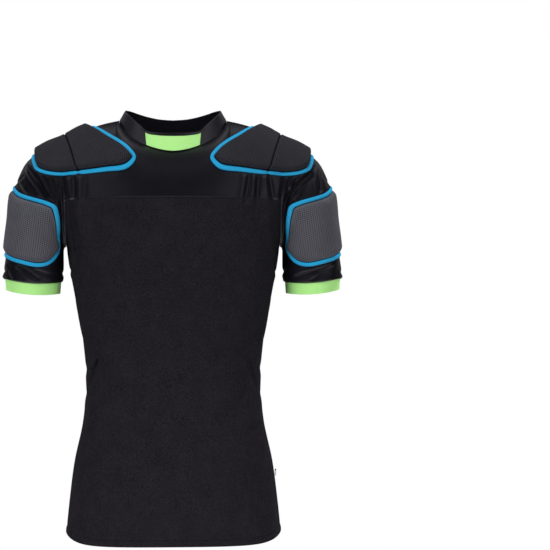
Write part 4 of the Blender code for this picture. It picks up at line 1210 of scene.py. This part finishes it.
def make_sleeve(hand, surface, creases, stops, materials):
    """One sleeve, with the line of stitches that holds its elastic."""
    surface = surface * HANDS[hand]
    grid, normals = crease(surface, True, surface.mean(axis=(0, 1)), creases, stops)
    outer, inner = cloth_wall(pull_in(grid, normals, ("first_row",)), normals, JERSEY_WALL, "last_row")
    piece = wall_piece(f"sleeve_{hand}_cloth", outer, inner, True, materials["sleeve"])
    dress(piece, f"sleeve_{hand}")
    line = line_along(outer, normals, edge_distances(outer)["last_row"], SLEEVE_STITCH)
    line = np.concatenate([line, line[:1]])
    sewing = stitching(f"sleeve_{hand}_stitches", [line], materials["black_thread"])


def make_cuff(hand, sleeve, materials):
    """The elastic band inside a sleeve's hem, ribbed across."""
    hem = sleeve[-1, ::2]
    centre = hem.mean(axis=0)
    out = unit(hem - centre)
    top = hem - out * (JERSEY_WALL + SEAM_GAP * 2)
    rows = []
    for share in seam_shares(CUFF_ROWS, CUFF_DEPTH + CUFF_TUCK, high_seam=LIP_ROWS):
        rib = RIB_HEIGHT * math.cos(2 * math.pi * CUFF_RIBS * share)
        drop = CUFF_DEPTH * share - CUFF_TUCK * (1 - share)
        rows.append(top - out * (CUFF_PULL_IN * share - rib) - np.array([0, 0, drop]))
    grid = np.array(rows) * HANDS[hand]
    normals = outward_normals(grid, True, centre * HANDS[hand])
    outer, inner = cloth_wall(grid, normals, CUFF_WALL, "last_row")
    piece = wall_piece(f"cuff_{hand}_elastic", outer, inner, True, materials["green"])
    dress(piece, f"cuff_{hand}")


def make_collar(materials):
    """The collar band and the green elastic insert at its front."""
    grid = collar_surface()
    outer, inner = cloth_wall(grid, outward_normals(grid, True, COLLAR_MIDDLE), COLLAR_WALL, "last_row")
    band = wall_piece("collar_band", outer, inner, True, materials["yoke"], every=1)
    dress(band, "collar")
    base = insert_surface()
    normals = outward_normals(base, False, COLLAR_MIDDLE)
    ribs = RIB_HEIGHT * np.cos(2 * math.pi * INSERT_RIBS * np.linspace(0, 1, INSERT_ROWS + 1))
    inner = base + normals * SEAM_GAP
    outer = inner + normals * (INSERT_WALL + ribs[:, None, None])
    insert = wall_piece("collar_insert", outer, inner, False, materials["green"])
    dress(insert, "collar_front_insert")


def make_label(materials):
    """A small folded label in the side seam, lying back along the side."""
    seam_x = float(torso("half_width", LABEL_HEIGHT - LABEL_TALL / 2)) + SEAM_GAP
    way = np.array([math.sin(LABEL_TURN), math.cos(LABEL_TURN), 0])
    across = np.array([math.cos(LABEL_TURN), -math.sin(LABEL_TURN), 0])
    bend = LABEL_FOLD / 2
    straight = np.linspace(0, LABEL_LONG - bend, LABEL_COLUMNS)
    turns = np.linspace(0, math.pi, LABEL_BEND_STEPS)[1:-1]
    path = [(along, 0.0) for along in straight]
    path += [(LABEL_LONG - bend + bend * math.sin(turn), bend * (1 - math.cos(turn))) for turn in turns]
    path += [(along, LABEL_FOLD) for along in straight[::-1]]
    rows = []
    for share in np.linspace(0, 1, LABEL_ROWS + 1):
        root = np.array([seam_x + LABEL_PLY, LABEL_BEHIND, LABEL_HEIGHT + (share - 0.5) * LABEL_TALL])
        rows.append([root + way * along + across * up for along, up in path])
    grid = np.array(rows)
    half = -grid_normals(grid, False) * LABEL_PLY / 2
    piece = wall_piece("side_label_tag", grid + half, grid - half, False, materials["label"], every=1)
    dress(piece, "side_label")


def skin_tree(*grids):
    """A search tree over outer surfaces, for what lies on them."""
    points, faces = [], []
    for grid, closed in grids:
        faces += grid_quads(numbered(*grid.shape[:2], len(points)), closed).tolist()
        points += grid.reshape(-1, 3).tolist()
    return BVHTree.FromPolygons(points, faces)


def on_skin(skin, view, spot):
    """The point of the surface that a view shows at a spot, or beside it where a seam's gap is there."""
    axes, viewer = VIEWS[view]
    for aside in (0.0, VIEW_NUDGE):
        start = np.array(viewer) * VIEW_FAR
        start[axes] = np.array(spot) + aside
        hit = skin.ray_cast(Vector(start), -Vector(viewer))[0]
        if hit is not None:
            return np.array(hit)
    raise ValueError(f"nothing of the surface is at {view} {spot}")


class Chart:
    """A flat map of the cloth round a core line: how far along the core, and how far round it."""

    def __init__(self, skin, core, radius):
        self.skin = skin
        self.start = np.array(core[0])
        self.along = unit(np.array(core[1]) - self.start)
        self.round = np.array([0.0, -1.0, 0.0])
        self.out = np.cross(self.round, self.along)
        self.radius = radius

    def spots(self, table):
        """The spots of the map at the points of a pad's table."""
        spots = []
        for view, *points in table:
            for point in points:
                away = on_skin(self.skin, view, point) - self.start
                turn = math.atan2(away @ self.round, away @ self.out)
                spots.append([away @ self.along, self.radius * turn])
        return np.array(spots)

    def place(self, spot):
        """The point of the surface at a spot of the map, or beside it where the spot is on a seam's gap."""
        turn = spot[1] / self.radius
        way = self.out * math.cos(turn) + self.round * math.sin(turn)
        core = self.start + self.along * spot[0]
        hit = self.skin.ray_cast(Vector(core), Vector(way))[0]
        if hit is None:
            hit = self.skin.find_nearest(Vector(core + way * self.radius))[0]
        return np.array(hit)

    def survey(self, outline):
        """Reads the surface on an even grid of the map, wide enough for an outline."""
        self.low = outline.min(axis=0) - CHART_MARGIN
        counts = np.ceil((outline.max(axis=0) + CHART_MARGIN - self.low) / CHART_STEP).astype(int) + 1
        grid = np.array([[self.place(self.low + CHART_STEP * np.array([i, j])) for j in range(counts[1])]
                         for i in range(counts[0])])
        self.close = self.evened(grid, CLOTH_CALM)
        self.calm = self.evened(grid, FOAM_CALM)

    @staticmethod
    def evened(grid, passes):
        """The surveyed points and their normals, evened out over their neighbours."""
        for _ in range(passes):
            for axis in (0, 1):
                even = (np.roll(grid, -1, axis) + 2 * grid + np.roll(grid, 1, axis)) / 4
                inside = [slice(None), slice(None)]
                inside[axis] = slice(1, -1)
                grid = grid.copy()
                grid[tuple(inside)] = even[tuple(inside)]
        return grid, unit(np.cross(np.gradient(grid, axis=1), np.gradient(grid, axis=0)))

    def read(self, values, spots):
        at = (spots - self.low) / CHART_STEP
        cell = np.clip(np.floor(at).astype(int), 0, np.array(values.shape[:2]) - 2)
        part = at - cell
        i, j = cell[..., 0], cell[..., 1]
        a, b = part[..., :1], part[..., 1:]
        low = values[i, j] * (1 - b) + values[i, j + 1] * b
        high = values[i + 1, j] * (1 - b) + values[i + 1, j + 1] * b
        return low * (1 - a) + high * a

    def raised(self, spots, height, calm=False):
        """Points at a height above the surface, which may be the calmer one that thick foam shows."""
        surface, outs = self.calm if calm else self.close
        height = np.broadcast_to(height, spots.shape[:-1])[..., None]
        return self.read(surface, spots) + unit(self.read(outs, spots)) * height


def even_steps(curve, count, closed=False):
    """Evenly spaced points along a line of straight steps; a closed line ends where it starts."""
    length = distance_along(curve)[-1]
    return read_line(curve, np.linspace(0, length, count, endpoint=not closed))


def resample(points, count, closed):
    """Evenly spaced points on a smooth curve through the given ones."""
    if closed:
        padded = np.concatenate([points[-2:], points, points[:3]])
    else:
        padded = np.concatenate([points[:1] * 2 - points[1:2], points, points[-1:] * 2 - points[-2:-1]])
    spans = np.linalg.norm(np.diff(padded, axis=0), axis=1)
    knots = np.concatenate([[0], np.cumsum(np.sqrt(spans))])
    first, last = (2, -3) if closed else (1, -2)
    at = np.linspace(knots[first], knots[last], CURVE_STEPS * count)
    return even_steps(smooth_line(knots, padded, at), count, closed)


def inward_of(loop):
    """Unit directions into a closed loop on the map."""
    run = unit(np.roll(loop, -1, axis=0) - np.roll(loop, 1, axis=0))
    inward = np.stack([-run[:, 1], run[:, 0]], axis=1)
    if ((loop.mean(axis=0) - loop) * inward).sum() < 0:
        inward = -inward
    return inward


def distance_to(spots, line):
    """How far spots of the map are from a line of close points."""
    flat = spots.reshape(-1, 2)
    nearest = np.full(len(flat), np.inf)
    for first in range(0, len(line), BATCH):
        away = flat[:, None] - line[None, first : first + BATCH]
        nearest = np.minimum(nearest, np.sqrt((away**2).sum(axis=-1).min(axis=1)))
    return nearest.reshape(spots.shape[:-1])


def mesh_hollows(spots):
    """The mesh cloth's hollows, from 0 on its threads to 1 in the middle of a hollow."""
    waves = sum(np.cos(MESH_TURN * (spots @ np.array(way))) for way in MESH_WAYS)
    return soft_step((waves / len(MESH_WAYS) - MESH_FROM) / (MESH_TO - MESH_FROM))


def patch(outline, corners):
    """An even grid of spots that fills an outline, between its four corners."""
    first = [nearest_to(outline, corner) for corner in corners]
    around = np.roll(outline, -first[0], axis=0)
    stops = [(index - first[0]) % len(outline) for index in first]
    if not stops[1] < stops[2] < stops[3]:
        around = np.roll(around[::-1], 1, axis=0)
        stops = [(len(outline) - stop) % len(outline) for stop in stops]
    around = np.concatenate([around, around[:1]])
    sides = [around[a : b + 1] for a, b in zip(stops, stops[1:] + [len(outline)])]
    lengths = [distance_along(side)[-1] for side in sides]
    columns, rows = (int(max(lengths[way], lengths[way + 2]) / PAD_STEP) for way in (0, 1))
    low, high = even_steps(sides[0], columns), even_steps(sides[2][::-1], columns)
    right, left = even_steps(sides[1], rows), even_steps(sides[3][::-1], rows)
    u = np.linspace(0, 1, columns)[None, :, None]
    v = np.linspace(0, 1, rows)[:, None, None]
    ruled = low[None] * (1 - v) + high[None] * v + left[:, None] * (1 - u) + right[:, None] * u
    flat = (low[0] * (1 - u) + low[-1] * u) * (1 - v) + (high[0] * (1 - u) + high[-1] * u) * v
    return ruled - flat


def bevelled(distance, width, edge_rise):
    """The share of its height that foam has at a distance from an edge."""
    return 1 - (1 - edge_rise) * (1 - np.clip(distance / width, 0, 1)) ** BEVEL_CURVE


def foam_piece(name, chart, outline, corners, groove, foam, material):
    """A foam block under mesh cloth: domed, with a bevelled edge and a closed back."""
    thickness, bevel, edge_rise = foam
    spots = patch(outline, corners)
    rim = outline if groove is None else outline[distance_to(outline, groove) > GROOVE_GAP]
    rise = bevelled(distance_to(spots, rim), bevel, edge_rise)
    if groove is not None:
        rise *= bevelled(distance_to(spots, groove) - GROOVE_GAP / 2, GROOVE_BEVEL, GROOVE_EDGE_RISE)
    crown = PAD_CROWN * soft_step(distance_to(spots, outline) / PAD_CROWN_REACH)
    # Where the mesh's hollows are open, and so where they take their painted shade.
    open_mesh = soft_step((rise - MESH_OPEN_FROM) / MESH_OPEN_EASE)
    height = REST_GAP + thickness * rise + crown - MESH_HOLLOW * mesh_hollows(spots) * open_mesh
    outer, inner = chart.raised(spots, height, calm=True), chart.raised(spots, PAD_BASE)
    for hand, mirror in HANDS.items():
        piece = wall_piece(f"{name}_{hand}_foam", outer * mirror, inner * mirror, False, material, spots,
                           {"open_mesh": open_mesh}, PAD_HIDDEN_STEP)
        dress(piece, f"{name}_{hand}")


def split_pad(inside_edge, groove):
    """The outlines of the two foam blocks either side of the groove, the inner one first."""
    first, second = sorted(nearest_to(inside_edge, end) for end in (groove[0], groove[-1]))
    arcs = [inside_edge[first : second + 1], np.concatenate([inside_edge[second:], inside_edge[: first + 1]])]
    run = unit(np.gradient(groove, axis=0))
    beside = np.stack([-run[:, 1], run[:, 0]], axis=1)
    outlines = []
    for arc in arcs:
        side = np.sign((arc.mean(axis=0) - groove.mean(axis=0)) @ beside.mean(axis=0))
        line = groove + beside * side * GROOVE_GAP / 2
        kept = arc[distance_to(arc, groove) > GROOVE_CLEAR]
        if np.linalg.norm(kept[-1] - line[0]) > np.linalg.norm(kept[-1] - line[-1]):
            line = line[::-1]
        outlines.append(even_steps(np.concatenate([kept, line, kept[:1]]), len(inside_edge), True))
    return sorted(outlines, key=lambda outline: outline[:, 0].mean())


def trim_section():
    """Across the trim, from its outer border to its inner one: place from the middle, rise, border or not."""
    border = [(TRIM_BEAD / 2 + TRIM_BORDER * gap, up, 1.0) for gap, up in TRIM_BORDER_SHAPE]
    bead = [(math.sin(turn) * TRIM_BEAD / 2, math.cos(turn) ** TRIM_BEAD_ROUND, 0.0)
            for turn in np.linspace(-TRIM_BEAD_ARC, TRIM_BEAD_ARC, TRIM_BEAD_ROWS) * QUARTER_TURN]
    return [(-place, up, dark) for place, up, dark in border] + bead + border[::-1]


def trim_pieces(name, chart, edge, pinches, material):
    """The sewn trim round a pad: a rounded bead of slanting threads between two dark edges of navy thread
    with painted shade.
    """
    inward = inward_of(edge)
    length = distance_along(np.concatenate([edge, edge[:1]]))
    threads = round(length[-1] / TRIM_THREAD) * length[:-1] / length[-1]
    pinch = np.zeros(len(edge))
    for spot in pinches:
        pinch += np.exp(-((np.linalg.norm(edge - spot, axis=1) / PINCH_REACH) ** 2))
    rows, strands, borders = [], [], []
    for place, up, border in trim_section():
        strand = np.cos(2 * math.pi * (threads + abs(place) / TRIM_THREAD))
        if border:
            height = TRIM_BASE + (TRIM_BORDER_TOP - TRIM_BASE) * up
        else:
            bead = TRIM_BORDER_TOP + (TRIM_TOP - TRIM_BORDER_TOP) * up
            height = bead + TRIM_THREAD_HEIGHT * strand * up - PINCH_SINK * pinch * up
        across = TRIM_WIDTH / 2 + place * (1 - PINCH_SHARE * pinch)
        rows.append(chart.raised(edge + inward * across[:, None], height))
        # Where each thread rises and dips, which sets its painted shade and highlight.
        strands.append(strand / 2 + 0.5)
        # Which rows take the dark border colour: navy thread with painted shade.
        borders.append(np.full(len(edge), border))
    for across in (TRIM_WIDTH, 0.0):
        rows.append(chart.raised(edge + inward * across, TRIM_BASE))
        strands.append(np.zeros(len(edge)))
        borders.append(np.ones(len(edge)))
    grid = np.array(rows)
    count, columns = grid.shape[:2]
    quads = grid_quads(numbered(count + 1, columns), True) % (count * columns)
    marks = {"strand": np.array(strands), "border": np.array(borders)}
    corner, beside, below = grid[TRIM_TOP_ROW, 0], grid[TRIM_TOP_ROW, 1], grid[TRIM_TOP_ROW + 1, 0]
    facing = np.cross(beside - corner, below - corner) @ (corner - chart.place(edge[0]))
    for hand, mirror in HANDS.items():
        faces = quads[:, ::-1] if (facing < 0) != (hand == "right") else quads
        points = grid.reshape(-1, 3) * mirror
        piece = new_piece(f"{name}_{hand}_band", points, faces.tolist(), material, marks=marks)
        dress(piece, f"{name}_{hand}")


def survey_pads(skin):
    """The charts of the shoulder and the arm, each with the outer edge of its pad."""
    pads = (
        (SHOULDER_CORE, SHOULDER_RADIUS, SHOULDER_PAD_EDGE, SHOULDER_EDGE_STEPS),
        (ARM_CORE, ARM_RADIUS, ARM_PAD_EDGE, ARM_EDGE_STEPS),
    )
    surveys = []
    for core, radius, table, steps in pads:
        chart = Chart(skin, core, radius)
        edge = resample(chart.spots(table), steps, True)
        chart.survey(edge)
        surveys.append((chart, edge, edge + inward_of(edge) * (TRIM_WIDTH + TRIM_PAD_GAP)))
    return surveys


def make_shoulder_pads(chart, edge, inside_edge, materials):
    """The shoulder pads: two foam blocks each, parted by a groove, and a ring of trim."""
    groove = resample(chart.spots(SHOULDER_GROOVE), GROOVE_STEPS, False)
    ends = [edge[nearest_to(inside_edge, end)] for end in (groove[0], groove[-1])]
    trim_pieces("shoulder_pad_trim", chart, edge, ends, materials["trim"])
    for (block, table), outline in zip(SHOULDER_CORNERS.items(), split_pad(inside_edge, groove)):
        corners = [groove[0], *chart.spots(table), groove[-1]]
        foam_piece(f"shoulder_pad_{block}", chart, outline, corners, groove, SHOULDER_FOAM,
                   materials["shoulder_mesh_shaded"])


def make_arm_pads(chart, edge, inside_edge, materials):
    """The upper-arm pads: one foam block each, and a ring of trim."""
    trim_pieces("arm_pad_trim", chart, edge, [], materials["trim"])
    corners = chart.spots(ARM_PAD_CORNERS)
    foam_piece("arm_pad", chart, inside_edge, corners, None, ARM_FOAM, materials["arm_mesh_lit"])


def make_garment():
    """Every piece of the top."""
    materials = make_materials()
    creases = all_creases()
    yokes = {side: yoke_surface(side) for side in (FRONT, BACK)}
    sleeve = sleeve_surface()
    shoulder, arm = survey_pads(skin_tree((yokes[FRONT], False), (yokes[BACK], False), (sleeve, True)))
    stops = crease_stops([chart.raised(edge, 0.0) for chart, edge, _ in (shoulder, arm)] + [sleeve[0]])
    make_collar(materials)
    for side, word in ((FRONT, "front"), (BACK, "back")):
        make_yoke(side, word, yokes[side], creases, stops, materials)
    front_body = make_body(FRONT, "front", creases, stops, materials)
    make_body(BACK, "back", creases, stops, materials, front_body)
    for hand in HANDS:
        make_sleeve(hand, sleeve, creases, stops, materials)
        make_cuff(hand, sleeve, materials)
    make_shoulder_pads(*shoulder, materials)
    make_arm_pads(*arm, materials)
    make_label(materials)


def make_floor():
    """The floor, which is part of the stage and not of the garment."""
    corners = [(FLOOR_RADIUS * math.cos(turn), FLOOR_RADIUS * math.sin(turn), FLOOR_HEIGHT)
               for turn in np.linspace(0, 2 * math.pi, FLOOR_SIDES, endpoint=False)]
    mesh = bpy.data.meshes.new("floor")
    mesh.from_pydata(corners, [], [list(range(FLOOR_SIDES))])
    nodes = Nodes("floor", FLOOR_WHITE, roughness=0.9, specular=0.1)
    middle = (0, 0, FLOOR_HEIGHT)
    away = nodes.add("ShaderNodeVectorMath", {"operation": "DISTANCE"}, i0=nodes.spot(), i1=middle)
    fade = nodes.ramp(away.outputs["Value"], i1=FLOOR_FADE_FROM, i2=FLOOR_RADIUS, i3=1.0, i4=0.0)
    nodes.shade(Alpha=fade)
    mesh.materials.append(nodes.material)
    linked("floor", mesh)


def make_world():
    """A white surround in the picture, and a dim even fill for the cloth."""
    world = bpy.data.worlds.new("studio")
    world.use_nodes = True
    tree = world.node_tree
    surround = tree.nodes["Background"]
    path = tree.nodes.new("ShaderNodeLightPath")
    lit, strength = (tree.nodes.new("ShaderNodeMath") for _ in range(2))
    for step, ray, share in ((lit, "Is Diffuse Ray", WORLD_FILL), (strength, "Is Camera Ray", WORLD_SEEN)):
        step.operation = "MULTIPLY_ADD"
        tree.links.new(path.outputs[ray], step.inputs[0])
        step.inputs[1].default_value = share
    lit.inputs[2].default_value = 0.0
    tree.links.new(lit.outputs[0], strength.inputs[2])
    tree.links.new(strength.outputs[0], surround.inputs["Strength"])
    surround.inputs["Color"].default_value = (1, 1, 1, 1)
    bpy.context.scene.world = world


def make_lights():
    """The fill lights shade the cloth; the sheen lights are only reflected in it."""
    for kind, rows in LIGHTS.items():
        for azimuth, elevation, strength, softness in rows:
            light = bpy.data.lights.new(kind, "SUN")
            light.energy = strength
            light.angle = math.radians(softness)
            lamp = linked(light.name, light)
            lamp.visible_glossy = kind == "sheen"
            lamp.visible_diffuse = kind == "fill"
            turn, rise = math.radians(azimuth), math.radians(elevation)
            level = math.cos(rise)
            towards = Vector((math.sin(turn) * level, -math.cos(turn) * level, math.sin(rise)))
            lamp.rotation_euler = towards.to_track_quat("Z", "Y").to_euler()


def make_camera():
    """The camera of the picture."""
    data = bpy.data.cameras.new("camera")
    data.lens = CAMERA_LENS
    data.sensor_width = CAMERA_SENSOR
    camera = linked("camera", data)
    camera.location = CAMERA_PLACE
    look = Vector(CAMERA_AIM) - Vector(CAMERA_PLACE)
    camera.rotation_euler = look.to_track_quat("-Z", "Y").to_euler()
    bpy.context.scene.camera = camera


make_garment()
make_floor()
make_world()
make_lights()
make_camera()
bpy.context.scene.view_settings.view_transform = "Standard"
